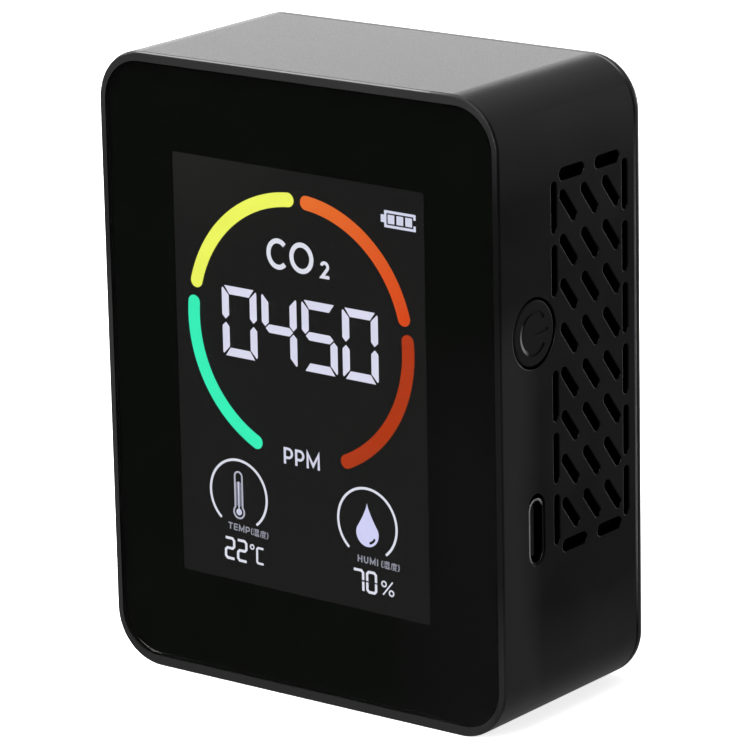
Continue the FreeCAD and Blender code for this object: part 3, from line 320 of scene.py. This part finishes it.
def clear_lens(name):
    """Clear hard-coated plate, with faint smears in its gloss."""
    shader = Shader(name)
    shader.surface.inputs["Base Color"].default_value = (0.96, 0.98, 0.95, 1)
    shader.surface.inputs["Transmission Weight"].default_value = 1.0
    shader.surface.inputs["IOR"].default_value = 1.47
    smear = shader.noise(0.014, 3.0, (1.0, 1.0, 0.4))
    shader.link(shader.spread(smear, 0.015, 0.035), shader.surface.inputs["Roughness"])
    shader.bump(shader.noise(0.02, 1.0), 0.000004)
    return shader


def brushed(name, colour, roughness, stretch):
    return base(name, colour, roughness, variation=0.08, metallic=1.0, grain=0.0006,
                patch=0.002, relief=0.000002, stretch=stretch)


def cloth(name, colour, pitch):
    """Plain weave: two crossing sets of threads."""
    shader = base(name, colour, 0.85, variation=0.2, specular=0.1)
    for direction in ("Y", "Z"):
        threads = shader.node("ShaderNodeTexWave", wave_type="BANDS", bands_direction=direction,
                              Scale=math.pi / (10 * pitch), Distortion=0.6)
        shader.link(shader.place, threads.inputs["Vector"])
        shader.bump(threads.outputs["Fac"], pitch * 0.25)
    return shader


def circuit_board(name):
    """Green solder mask over darker copper tracks."""
    shader = base(name, linear(12, 82, 44), 0.32, variation=0.1, patch=0.004)
    tracks = shader.node("ShaderNodeTexBrick", Scale=420.0)
    tracks.inputs["Mortar Size"].default_value = 0.03
    tracks.inputs["Color1"].default_value = linear(12, 84, 45)
    tracks.inputs["Color2"].default_value = linear(16, 94, 50)
    tracks.inputs["Mortar"].default_value = linear(6, 55, 28)
    shader.link(shader.place, tracks.inputs["Vector"])
    shader.link(tracks.outputs["Color"], shader.surface.inputs["Base Color"])
    shader.bump(tracks.outputs["Fac"], 0.00002)
    return shader


def glowing(name, first, second=None, start=None, end=None):
    """A lit display segment. Its light fades evenly from first at start to second at end (x, z in mm)."""
    shader = Shader(name)
    shader.surface.inputs["Base Color"].default_value = (0.002, 0.002, 0.002, 1)
    shader.surface.inputs["Roughness"].default_value = 0.5
    shader.surface.inputs["Specular IOR Level"].default_value = 0.1
    shader.surface.inputs["Emission Strength"].default_value = 1.0
    if second is None:
        shader.blend(shader.spread(shader.noise(0.004, 1.0), 0, 1), scaled(first, 1.02),
                     scaled(first, 0.98), "Emission Color")
        return shader
    across, up = (end[0] - start[0]) * MM, (end[1] - start[1]) * MM
    length = across * across + up * up
    x, y, z = shader.axes()
    x_share = shader.spread(x, 0, 1, start[0] * MM, start[0] * MM + length / across)
    z_share = shader.spread(z, 0, 1, start[1] * MM, start[1] * MM + length / up)
    for share in (x_share, z_share):
        share.node.clamp = False
    total = shader.sum(x_share, z_share)
    total.node.use_clamp = True
    shader.blend(total, first, second, "Emission Color")
    return shader


def dark_display(name):
    """Polariser of a switched-off black panel with a trace of backlight, a little stronger top left."""
    shader = base(name, (0.0008, 0.0008, 0.0008, 1), 0.4, specular=0.0)
    shader.surface.inputs["Emission Strength"].default_value = 1.0
    x, y, z = shader.axes()
    height = shader.spread(z, 0, 1, 0.060, 0.074)
    side = shader.spread(x, 1, 0, -0.018, 0.002)
    shader.blend(shader.product(height, side), linear(25, 25, 25), linear(35, 35, 34), "Emission Color")
    return shader


BUTTON_REACH = 0.00435           # from the button's axis to the edge of its flange
SCREEN_BLACK, SCREEN_PITCH = grey(0.0008), 0.00045
SLOTS = {
    "case_plastic": lambda n: case_plastic(n, (0.0075, 0.0075, 0.0076, 1), 0.33),
    "button_plastic": lambda n: button_plastic(n, (0.0045, 0.0045, 0.0046, 1), 0.34),
    "dark_screw": lambda n: base(n, linear(52, 52, 54), 0.38, metallic=0.6, relief=0.000002),
    "lens": clear_lens,
    "black_tape": lambda n: base(n, (0.006, 0.006, 0.0062, 1), 0.75, relief=0.00001),
    "display_glass": dark_display,
    "steel": lambda n: brushed(n, linear(190, 191, 193), 0.3, (0.08, 1.0, 1.0)),
    "bright_steel": port_steel,
    "flex_film": lambda n: base(n, linear(160, 92, 30), 0.3, patch=0.003),
    "circuit_board": circuit_board,
    "connector_plastic": lambda n: base(n, linear(226, 221, 205), 0.5, variation=0.05, relief=0.000003),
    "chip_plastic": lambda n: base(n, linear(30, 30, 31), 0.6, grain=0.0001, relief=0.000004),
    "ferrite": lambda n: base(n, linear(70, 70, 74), 0.7, grain=0.0002, relief=0.00001),
    "gold_plate": lambda n: brushed(n, linear(214, 178, 96), 0.3, (1.0, 1.0, 0.1)),
    "membrane": lambda n: cloth(n, linear(236, 236, 230), 0.0003),
    "foil": lambda n: brushed(n, linear(196, 198, 202), 0.34, (1.0, 0.1, 1.0)),
    "lead_rubber": lambda n: base(n, linear(168, 26, 24), 0.45, relief=0.000005),
    "screen_cloth": lambda n: cloth(n, SCREEN_BLACK, SCREEN_PITCH),
}


def dress_nodes():
    """Gives every CAD node the material of its slot."""
    made = {}
    for part in frame["record"]["subparts"]:
        slot = part["material_slot"]
        if slot not in made:
            made[slot] = SLOTS[slot](slot).material
        mesh = nodes[part["node"]].data
        mesh.materials.clear()
        mesh.materials.append(made[slot])


# ---- Flat shapes in millimetres: x across the front, z up ----

def arc(cx, cz, rx, rz, start, end, steps):
    """Points along an elliptical arc, angles in degrees."""
    points = []
    for i in range(steps + 1):
        angle = math.radians(start + (end - start) * i / steps)
        points.append((cx + rx * math.cos(angle), cz + rz * math.sin(angle)))
    return points


def offsets(points, half, closed):
    """Left and right edge points of a stroke, mitred at its corners."""
    left, right = [], []
    count = len(points)
    for i, point in enumerate(points):
        here = Vector(point)
        before = Vector(points[i - 1]) if i or closed else None
        after = Vector(points[(i + 1) % count]) if i < count - 1 or closed else None
        first = (here - before).normalized() if before is not None else (after - here).normalized()
        second = (after - here).normalized() if after is not None else first
        tangent = (first + second).normalized()
        reach = half / max(0.35, tangent.dot(first))
        normal = Vector((-tangent.y, tangent.x)) * reach
        left.append(tuple(here + normal))
        right.append(tuple(here - normal))
    return left, right


def stroke(points, width, closed=False, round_ends=False):
    """One stroke as a list of polygons."""
    left, right = offsets(points, width / 2, closed)
    count = len(points)
    faces = []
    for i in range(count if closed else count - 1):
        j = (i + 1) % count
        faces.append([right[i], right[j], left[j], left[i]])
    if round_ends:
        for end, edge in ((0, left[0]), (-1, right[-1])):
            centre = points[end]
            start = math.degrees(math.atan2(edge[1] - centre[1], edge[0] - centre[0]))
            faces.append(arc(*centre, width / 2, width / 2, start, start + 180, 14))
    return faces


def moved(faces, dx, dz):
    return [[(x + dx, z + dz) for x, z in face] for face in faces]


def turned(faces, degrees, cx, cz):
    """The faces turned about a centre, anticlockwise as seen from the front."""
    cos, sin = math.cos(math.radians(degrees)), math.sin(math.radians(degrees))
    return [[(cx + (x - cx) * cos - (z - cz) * sin, cz + (x - cx) * sin + (z - cz) * cos) for x, z in face]
            for face in faces]


def solid(name, faces, front, depth, material):
    """One piece: every polygon in faces, from y = front to front + depth, in millimetres."""
    shape = bmesh.new()
    for face in faces:
        corners = [shape.verts.new((x * MM, front * MM, z * MM)) for x, z in face]
        shape.faces.new(corners)
    bmesh.ops.remove_doubles(shape, verts=shape.verts, dist=1e-7)
    bmesh.ops.recalc_face_normals(shape, faces=shape.faces)
    flat = list(shape.faces)
    for face in flat:
        if face.normal.y > 0:
            face.normal_flip()
    copied = bmesh.ops.duplicate(shape, geom=flat)
    back = [item for item in copied["geom"] if isinstance(item, bmesh.types.BMFace)]
    pairs = copied["vert_map"]
    for vertex in {v for face in back for v in face.verts}:
        vertex.co.y += depth * MM
    for face in back:
        face.normal_flip()
    for edge in [e for face in flat for e in face.edges]:
        if len(edge.link_faces) == 1:
            a, b = edge.link_loops[0].vert, edge.link_loops[0].link_loop_next.vert
            shape.faces.new((b, a, pairs[a], pairs[b]))
    bmesh.ops.recalc_face_normals(shape, faces=shape.faces)
    mesh = bpy.data.meshes.new(name)
    shape.to_mesh(mesh)
    shape.free()
    piece = bpy.data.objects.new(name, mesh)
    bpy.context.scene.collection.objects.link(piece)
    mesh.materials.append(material)
    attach(piece, "case")
    return piece


# ---- What the display shows ----

# How the drawn picture sits behind the lens: shares of x and z, and a shift in millimetres.
SEAT_X = (0.98673, 0.00234, -0.56)
SEAT_Z = (-0.01135, 0.98961, 0.30175)
LENS_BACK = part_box("display_lens")[1].y / MM
SEGMENT_FRONT = LENS_BACK + 0.04
SEGMENT_DEPTH = 0.04


def seated(faces):
    """Faces as they sit behind the lens: the panel is a little off centre and not quite square."""

    def placed(x, z):
        return tuple(across * x + up * z + shift for across, up, shift in (SEAT_X, SEAT_Z))

    return [[placed(x, z) for x, z in face] for face in faces]


def segment_digit(marks, width, height, bar):
    """Seven-segment figure about its centre; marks names the lit segments a to g."""
    w, h, t = width / 2, height / 2, bar
    corner, inner = t * 0.4, t * 1.12
    top = [(-w + corner, h), (w - corner, h), (w - inner, h - t), (-w + inner, h - t)]
    upper = [(-w, h - corner), (-w + t * 0.13, h - t * 0.24), (-w + t, h - inner),
             (-w + t, t * 0.70), (-w + t / 2, t * 0.20), (-w, t * 0.66)]
    middle = [(-w + t * 0.56, 0), (-w + t * 1.07, t / 2), (w - t * 1.07, t / 2),
              (w - t * 0.56, 0), (w - t * 1.07, -t / 2), (-w + t * 1.07, -t / 2)]

    def mirrored(face, x, z):
        return [(px * x, pz * z) for px, pz in face]

    shapes = {"a": top, "f": upper, "b": mirrored(upper, -1, 1), "g": middle,
              "e": mirrored(upper, 1, -1), "c": mirrored(upper, -1, -1), "d": mirrored(top, 1, -1)}
    return [shapes[mark] for mark in marks]


SEGMENTS = {"0": "abcdef", "2": "abged", "4": "fgbc", "5": "afgcd", "7": "abc"}


def joined_digit(figure, width, height, bar):
    """Small figure drawn as joined strokes, with its outer corners cut."""
    w, h, cut = width / 2 - bar / 2, height / 2 - bar / 2, bar * 0.8
    half_gap = 0.1
    if figure == "2":
        line = [(-w, h), (w - cut, h), (w, h - cut), (w, cut), (w - cut, 0), (-w + cut, 0),
                (-w, -cut), (-w, -h + cut), (-w + cut, -h), (w, -h)]
        return stroke(line, bar)
    if figure == "7":
        return (stroke([(-w, h), (w - cut, h), (w, h - cut), (w, half_gap + 0.02)], bar)
                + stroke([(w, -half_gap - 0.02), (w, -h)], bar))
    upper = [(-w, half_gap), (-w, h - cut), (-w + cut, h), (w - cut, h), (w, h - cut), (w, half_gap)]
    return stroke(upper, bar) + stroke([(x, -z) for x, z in upper], bar)


def letter(mark, width, height, bar):
    """Light upright capital with its lower left corner at the origin."""
    half = bar / 2
    if mark == "C":
        rx, rz = width * 0.53 - half, height / 2 - half
        return stroke(arc(rx + half, height / 2, rx, rz, 46, 314, 40), bar)
    if mark == "O":
        rx, rz = width / 2 - half, height / 2 - half
        return stroke(arc(width / 2, height / 2, rx, rz, 0, 351, 39), bar, closed=True)
    if mark == "P":
        radius = height * 0.27
        top = height - half
        bowl = [(bar, top), (width - radius - half, top)]
        bowl += arc(width - radius - half, top - radius, radius, radius, 84, -84, 14)
        bowl += [(width - radius - half, top - 2 * radius), (bar, top - 2 * radius)]
        return stroke([(half, 0), (half, height)], bar) + stroke(bowl, bar)
    if mark == "M":
        line = [(half, 0), (half, height - half), (width / 2, height * 0.2),
                (width - half, height - half), (width - half, 0)]
        return stroke(line, bar)
    if mark == "T":
        return (stroke([(0, height - half), (width, height - half)], bar)
                + stroke([(width / 2, 0), (width / 2, height - bar)], bar))
    if mark == "E":
        arms = [stroke([(bar, z), (width, z)], bar) for z in (half, height / 2, height - half)]
        return stroke([(half, 0), (half, height)], bar) + [face for arm in arms for face in arm]
    if mark == "H":
        return (stroke([(half, 0), (half, height)], bar)
                + stroke([(width - half, 0), (width - half, height)], bar)
                + stroke([(bar, height / 2), (width - bar, height / 2)], bar))
    if mark == "U":
        radius = width / 2 - half
        line = [(half, height)] + arc(width / 2, radius + half, radius, radius, 180, 360, 12)
        return stroke(line + [(width - half, height)], bar)
    if mark == "I":
        return stroke([(half, 0), (half, height)], bar)
    if mark == "2":
        radius = width / 2 - half
        line = arc(width / 2, height - half - radius, radius, radius, 165, -35, 16)
        line += [(half + bar * 0.2, half), (width, half)]
        return stroke(line, bar)
    raise ValueError(mark)


def word(marks, left, base_line, height, bar, widths, spacing):
    faces = []
    for mark, width in zip(marks, widths):
        faces += moved(letter(mark, width, height, bar), left, base_line)
        left += width + spacing
    return faces


# Strokes of the small symbols, in a square of side 1 with its lower left corner at the origin.
WATER = [[(0.08, 0.92), (0.22, 0.80)], [(0.02, 0.62), (0.17, 0.52)], [(0.03, 0.08), (0.20, 0.36)]]
SUN = [[(0.38, 0.51), (0.38, 0.99)], [(0.90, 0.51), (0.90, 0.99)], [(0.43, 0.94), (0.85, 0.94)],
       [(0.43, 0.75), (0.85, 0.75)], [(0.43, 0.56), (0.85, 0.56)]]
BOWL = [[(0.36, 0.10), (0.36, 0.41)], [(0.55, 0.10), (0.55, 0.41)], [(0.74, 0.10), (0.74, 0.41)],
        [(0.93, 0.10), (0.93, 0.41)], [(0.27, 0.05), (1.02, 0.05)]]
ROW = [[(0.52, 0.10), (0.52, 0.43)], [(0.77, 0.10), (0.77, 0.43)], [(0.32, 0.36), (0.40, 0.16)],
       [(0.97, 0.36), (0.89, 0.16)], [(0.27, 0.05), (1.02, 0.05)]]
MEASURE = [[(0.55, 1.02), (0.55, 0.92)], [(0.12, 0.87), (1.0, 0.87)],
           [(0.17, 0.82), (0.15, 0.42), (0.02, 0.05)], [(0.28, 0.68), (0.42, 0.68)],
           [(0.52, 0.68), (0.72, 0.68)], [(0.82, 0.68), (0.96, 0.68)], [(0.47, 0.78), (0.47, 0.46)],
           [(0.77, 0.78), (0.77, 0.46)], [(0.30, 0.36), (0.86, 0.36), (0.60, 0.16)],
           [(0.52, 0.11), (0.24, 0.0)], [(0.40, 0.28), (0.54, 0.17)], [(0.64, 0.11), (0.98, 0.0)]]
SYMBOLS = {"warm": WATER + SUN + BOWL, "damp": WATER + SUN + ROW, "degree": MEASURE}


def bracketed(names, left, base_line, size, bar):
    """Small bracketed symbols for what is measured, after the caption."""
    reach, middle = size * 0.62, base_line + size * 0.48
    faces = stroke(arc(left + reach, middle, reach, size * 0.72, 140, 220, 10), bar)
    x = left + 0.3
    for name in names:
        for line in SYMBOLS[name]:
            faces += stroke([(x + px * size, base_line + pz * size) for px, pz in line], bar * 0.8)
        x += size * 1.2
    return faces + stroke(arc(x - 0.3 * reach - 0.3, middle, reach, size * 0.72, -40, 40, 10), bar)


WHITE = linear(232, 232, 248)
CAPTION_GREY = linear(156, 156, 172)
RING_WIDTH = 0.34
SMALL_BAR = 0.36                 # stroke of the small figures
GAUGE_RADIUS, GAUGE_HEIGHT, GAUGE_WIDTH = 17.92, 50.3, 1.95


def lit(name, faces, colour=WHITE, **fade):
    """A lit segment of the display, as one piece."""
    return solid(name, seated(faces), SEGMENT_FRONT, SEGMENT_DEPTH,
                 glowing(name, colour, **fade).material)


def gauge(name, start, end, colour, second=None):
    """One coloured quarter of the gauge, with round ends."""
    points = arc(0, GAUGE_HEIGHT, GAUGE_RADIUS, GAUGE_RADIUS, start, end, 40)
    fade = {}
    if second:
        fade = {"second": second, "start": points[0], "end": points[-1]}
    lit(name, stroke(points, GAUGE_WIDTH, round_ends=True), colour, **fade)


def make_gauge():
    gauge("gauge_yellow", 94.7, 164.9, linear(249, 255, 99))
    gauge("gauge_green", 174.9, 244.6, linear(54, 249, 194))
    gauge("gauge_orange", 85.0, 14.9, linear(240, 112, 42), linear(222, 73, 14))
    gauge("gauge_red", 5.1, -65.3, linear(180, 54, 2))


def make_reading():
    """The large figures, the gas name above them and the unit below."""
    width, height, bar, pitch, middle = 5.86, 9.65, 1.14, 6.73, 50.19
    faces = []
    for i, figure in enumerate("0450"):
        faces += moved(segment_digit(SEGMENTS[figure], width, height, bar), (i - 1.5) * pitch, middle)
    lit("reading_figures", faces, linear(230, 228, 252))
    name = moved(letter("C", 3.6, 4.22, 0.66), -5.22, 58.48)
    name += moved(letter("O", 3.98, 4.22, 0.66), -1.38, 58.48)
    name += moved(letter("2", 1.5, 2.35, 0.44), 3.68, 58.38)
    lit("gas_name", name)
    lit("unit_name", word("PPM", -3.12, 31.95, 2.28, 0.35, (1.55, 1.55, 2.2), 0.37), linear(222, 222, 244))


def make_battery_icon():
    """Outline with a terminal on its left, three bars and a notched right end."""
    low, high, left, right, bar = 66.78, 69.04, 14.4, 19.45, 0.34
    middle = (low + high) / 2
    half, notch = bar / 2, 0.74
    outline = [(right - half, high - notch), (right - half, high - half), (left + half, high - half),
               (left + half, low + half), (right - half, low + half), (right - half, low + notch)]
    faces = stroke(outline, bar)
    faces += stroke([(left - 0.55, middle), (left, middle)], 1.0)
    for i in range(3):
        x = left + 0.57 + i * 1.42
        faces += stroke([(x, middle), (x + 1.06, middle)], 1.18)
    lit("battery_icon", faces, linear(222, 223, 248))


def make_temperature():
    """Ring, thermometer, caption and value on the left."""
    x, z = -11.05, 26.2
    lit("temperature_ring", stroke(arc(x, z, 4.8, 4.8, 230.3, -52.0, 72), RING_WIDTH))
    bulb, bulb_radius, tube, tube_top = 23.73, 0.88, 0.62, 28.72
    opening = math.degrees(math.asin(tube / bulb_radius))
    glass = arc(x, bulb, bulb_radius, bulb_radius, 90 + opening, 450 - opening, 30)
    glass += arc(x, tube_top, tube, tube, 0, 180, 14)
    lit("thermometer_glass", stroke(glass, 0.24, closed=True), linear(186, 186, 206))
    haze = [[(x + a, 24.58), (x + b, 24.58), (x + b, 27.9), (x + a, 27.9)]
            for a, b in ((-0.46, -0.17), (0.17, 0.46))]
    lit("thermometer_haze", haze, linear(118, 118, 134))
    fluid = [arc(x, bulb, 0.46, 0.46, 100, 440, 24) + [(x + 0.13, 27.98), (x - 0.13, 27.98)]]
    lit("thermometer_fluid", fluid, linear(214, 214, 240))
    caption = word("TEMP", -12.98, 21.1, 0.93, 0.16, (0.74, 0.64, 0.93, 0.72), 0.22)
    caption += bracketed(("warm", "degree"), -9.02, 21.08, 1.0, 0.13)
    lit("temperature_caption", turned(caption, -3.0, -12.6, 21.5), CAPTION_GREY)
    value = moved(joined_digit("2", 1.8, 3.2, SMALL_BAR), -12.8, 18.34)
    value += moved(joined_digit("2", 1.8, 3.2, SMALL_BAR), -10.7, 18.34)
    value += stroke(arc(-8.97, 19.25, 0.3, 0.3, 0, 345, 23), 0.18, closed=True)
    unit = [(-7.05, 19.3), (-7.95, 19.3), (-8.13, 19.12), (-8.13, 17.32), (-7.95, 17.14), (-7.05, 17.14)]
    value += stroke(unit, 0.3)
    lit("temperature_value", turned(value, -0.8, -12.8, 18.3))


def make_humidity():
    """Ring, drop, caption and value on the right."""
    x, z = 10.68, 26.02
    lit("humidity_ring", stroke(arc(x, z, 4.84, 4.84, 230.3, -51.4, 72), RING_WIDTH))
    centre, radius, tip = 24.68, 1.84, 28.83
    side = []
    for i in range(15):
        share = i / 14
        width = radius * 0.9 * share ** 1.35
        side.append((width, tip - (tip - centre - radius * 0.42) * share))
    bowl = [(px, pz) for px, pz in arc(0, centre, radius, radius, 22, -90, 22)]
    right = side + bowl
    outline = right + [(-px, pz) for px, pz in reversed(right[1:-1])]
    lit("humidity_drop", [[(px + x, pz) for px, pz in outline]], linear(218, 217, 258))
    glint = arc(x + 0.1, centre - 0.1, 1.2, 1.2, -72, -28, 12)
    solid("humidity_glint", seated(stroke(glint, 0.34, round_ends=True)), SEGMENT_FRONT - 0.012, 0.01,
          dark_display("humidity_glint").material)
    caption = word("HUMI", 8.98, 20.53, 0.95, 0.16, (0.76, 0.72, 0.92, 0.16), 0.27)
    caption += bracketed(("damp", "degree"), 12.95, 20.48, 1.02, 0.13)
    lit("humidity_caption", turned(caption, -1.2, 9.3, 21.0), CAPTION_GREY)
    value = moved(joined_digit("7", 1.88, 3.15, SMALL_BAR), 9.06, 17.99)
    value += moved(joined_digit("0", 1.82, 3.15, SMALL_BAR), 11.22, 17.99)
    value += stroke([(13.1, 16.7), (14.7, 18.65)], 0.2)
    for px, pz in ((13.28, 18.2), (14.5, 17.1)):
        value += stroke(arc(px, pz, 0.36, 0.36, 0, 345, 23), 0.2, closed=True)
    lit("humidity_value", value)


def rounded_outline(half_width, low, high, radius, steps=10):
    """Corner points of a rounded rectangle, anticlockwise from the lower right corner."""
    points = []
    reach = half_width - radius
    for cx, cz, start in ((reach, low + radius, -90), (reach, high - radius, 0),
                          (-reach, high - radius, 90), (-reach, low + radius, 180)):
        points += arc(cx, cz, radius, radius, start, start + 90, steps)
    return points


def lens_ink(name):
    """Greenish black ink, a little greyer toward the lower right."""
    shader = base(name, (0.0021, 0.0027, 0.0020, 1), 0.55, specular=0.0, relief=0.000003)
    x, y, z = shader.axes()
    share = shader.product(shader.spread(x, 0, 1, 0.013, 0.024), shader.spread(z, 1, 0, 0.038, 0.056))
    shader.cover(share, grey(0.0045))
    return shader


def make_lens_print():
    """Black ink on the back of the lens, all round the display window."""
    low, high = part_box("display_lens")
    inset, corner = 0.05, 5.72
    outer = rounded_outline(high.x / MM - inset, low.z / MM + inset, high.z / MM - inset, corner)
    half_width, foot, head, window_corner = 20.85, 13.97, 72.17, 0.35
    inner = seated([rounded_outline(half_width, foot, head, window_corner)])[0]
    faces = []
    for i in range(len(outer)):
        j = (i + 1) % len(outer)
        faces.append([outer[i], outer[j], inner[j], inner[i]])
    solid("lens_print", faces, LENS_BACK - 0.03, 0.02, lens_ink("lens_ink").material)


def make_screen_edges():
    """Strips of the dust screens' cloth behind the front row of slots, above and below the button."""
    screen_low, screen_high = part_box("dust_screen_right")
    front, back = -4.95, screen_low.y / MM - 0.02
    inner, outer = screen_low.x / MM, screen_high.x / MM
    button_foot, button_head = (corner.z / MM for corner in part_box("power_button"))
    width, room = back - front, 0.2
    edge_cloth = cloth("screen_edge_cloth", SCREEN_BLACK, SCREEN_PITCH).material
    spans = {"upper": (button_head + room, screen_high.z / MM),
             "lower": (screen_low.z / MM, button_foot - room)}
    for side, wall in (("right", -outer), ("left", inner)):
        for level, (foot, head) in spans.items():
            ends = [((front + back) / 2, foot + width / 2), ((front + back) / 2, head - width / 2)]
            strip = solid("screen_edge_" + side + "_" + level, stroke(ends, width, round_ends=True),
                          wall, outer - inner, edge_cloth)
            strip.data.transform(Matrix.Rotation(math.radians(90), 4, "Z"))


# ---- Stage, lights and camera ----

def make_floor():
    """Plain pale floor under the object."""
    mesh = bpy.data.meshes.new("floor")
    reach, gap = 4.0, 0.0002
    corners = [(-reach, -reach, 0), (reach, -reach, 0), (reach, reach, 0), (-reach, reach, 0)]
    mesh.from_pydata(corners, [], [(0, 1, 2, 3)])
    floor = bpy.data.objects.new("floor", mesh)
    bpy.context.scene.collection.objects.link(floor)
    floor.location.z = -gap
    shader = Shader("floor_paper")
    shader.surface.inputs["Specular IOR Level"].default_value = 0.0
    shader.blend(shader.noise(0.3), grey(0.90), grey(0.93), "Base Color")
    shader.surface.inputs["Roughness"].default_value = 0.9
    shader.surface.inputs["Emission Color"].default_value = grey(1)
    shader.surface.inputs["Emission Strength"].default_value = 0.8
    mesh.materials.append(shader.material)
    floor.visible_glossy = False
    floor.visible_diffuse = False
    floor.visible_transmission = False


# Brightness of the studio as the object mirrors it, from straight below (0) to straight above (1).
SKY = ((0.0, 0.5), (0.15, 0.12), (0.29, 0.06), (0.36, 0.04), (0.48, 0.04), (0.56, 0.06), (0.66, 0.06),
       (0.82, 0.07), (1.0, 0.85))


def make_world():
    """White studio seen directly; what lights and mirrors in the object is mostly dark."""
    world = bpy.data.worlds.new("studio")
    bpy.context.scene.world = world
    world.use_nodes = True
    tree = world.node_tree
    node, link = tree.nodes.new, tree.links.new
    split = node("ShaderNodeSeparateXYZ")
    link(node("ShaderNodeTexCoord").outputs["Generated"], split.inputs["Vector"])

    def rise(axis, start, end, top):
        """Grows from 0 to top, while one coordinate of the direction goes from start to end."""
        made = node("ShaderNodeMapRange")
        for name, value in (("From Min", start), ("From Max", end), ("To Max", top)):
            made.inputs[name].default_value = value
        link(split.outputs[axis], made.inputs["Value"])
        return made.outputs["Result"]

    def total(first, second):
        made = node("ShaderNodeVectorMath")
        link(first, made.inputs[0])
        link(second, made.inputs[1])
        return made.outputs["Vector"]

    ramp = node("ShaderNodeValToRGB")
    link(rise("Z", -1.0, 1.0, 1.0), ramp.inputs["Fac"])
    stops = ramp.color_ramp.elements
    for position, level in SKY[1:-1]:
        stops.new(position).color = grey(level)
    stops[0].color, stops[-1].color = grey(SKY[0][1]), grey(SKY[-1][1])
    behind, glow, beside = rise("Y", 0.2, 0.9, 0.14), rise("Y", 0.92, 0.96, 1.6), rise("X", 0.86, 0.98, 0.45)
    seen = node("ShaderNodeMix")
    seen.data_type = "RGBA"
    mirrored, direct = MIX_COLOURS
    seen.inputs[direct].default_value = grey(1)
    link(node("ShaderNodeLightPath").outputs["Is Camera Ray"], seen.inputs[0])
    link(total(total(ramp.outputs["Color"], behind), total(glow, beside)), seen.inputs[mirrored])
    link(seen.outputs[COLOUR_RESULT], tree.nodes["Background"].inputs["Color"])


def direction(azimuth, elevation):
    """Unit vector from the object; azimuth 0 is in front of it and 90 on its right, in degrees."""
    a, e = math.radians(azimuth), math.radians(elevation)
    return Vector((math.sin(a) * math.cos(e), -math.cos(a) * math.cos(e), math.sin(e)))


def softbox(name, azimuth, elevation, distance, width, height, power):
    """Rectangular area light that faces the object."""
    lamp = bpy.data.lights.new(name, "AREA")
    lamp.shape = "RECTANGLE"
    lamp.size, lamp.size_y = width, height
    lamp.energy = power
    holder = bpy.data.objects.new(name, lamp)
    bpy.context.scene.collection.objects.link(holder)
    away = direction(azimuth, elevation)
    holder.location = Vector((0, 0, 0.04)) + away * distance
    holder.rotation_mode = "QUATERNION"
    holder.rotation_quaternion = away.to_track_quat("Z", "Y")


def make_camera():
    """Camera at the front right, a little above, with a long lens and a slight roll."""
    azimuth, elevation, roll, distance = 37.489, 15.462, math.radians(-1.186), 0.640
    aim = Vector((0.00016, 0.00012, 0.04103))
    back = direction(azimuth, elevation)
    across = Vector((math.cos(math.radians(azimuth)), math.sin(math.radians(azimuth)), 0))
    up = back.cross(across)
    right = across * math.cos(roll) + up * math.sin(roll)
    top = up * math.cos(roll) - across * math.sin(roll)
    camera = bpy.data.objects.new("camera", bpy.data.cameras.new("camera"))
    bpy.context.scene.collection.objects.link(camera)
    camera.data.sensor_width = 36.0
    camera.data.lens = 230.93
    camera.data.clip_start, camera.data.clip_end = 0.02, 60.0
    turn = Matrix((right, top, back)).transposed().to_4x4()
    camera.matrix_world = Matrix.Translation(aim + back * distance) @ turn
    bpy.context.scene.camera = camera


dress_nodes()
make_lens_print()
make_screen_edges()
make_gauge()
make_reading()
make_battery_icon()
make_temperature()
make_humidity()
make_floor()
make_world()
softbox("softbox_back_left", -142, 9.2, 1.6, 1.5, 0.62, 6.3)
softbox("softbox_front_left", -40, 52, 1.6, 2.4, 2.0, 80)
softbox("softbox_front", -6, 20, 1.4, 0.9, 0.7, 28)
make_camera()

scene = bpy.context.scene
scene.view_settings.view_transform = "Standard"
scene.view_settings.look = "None"
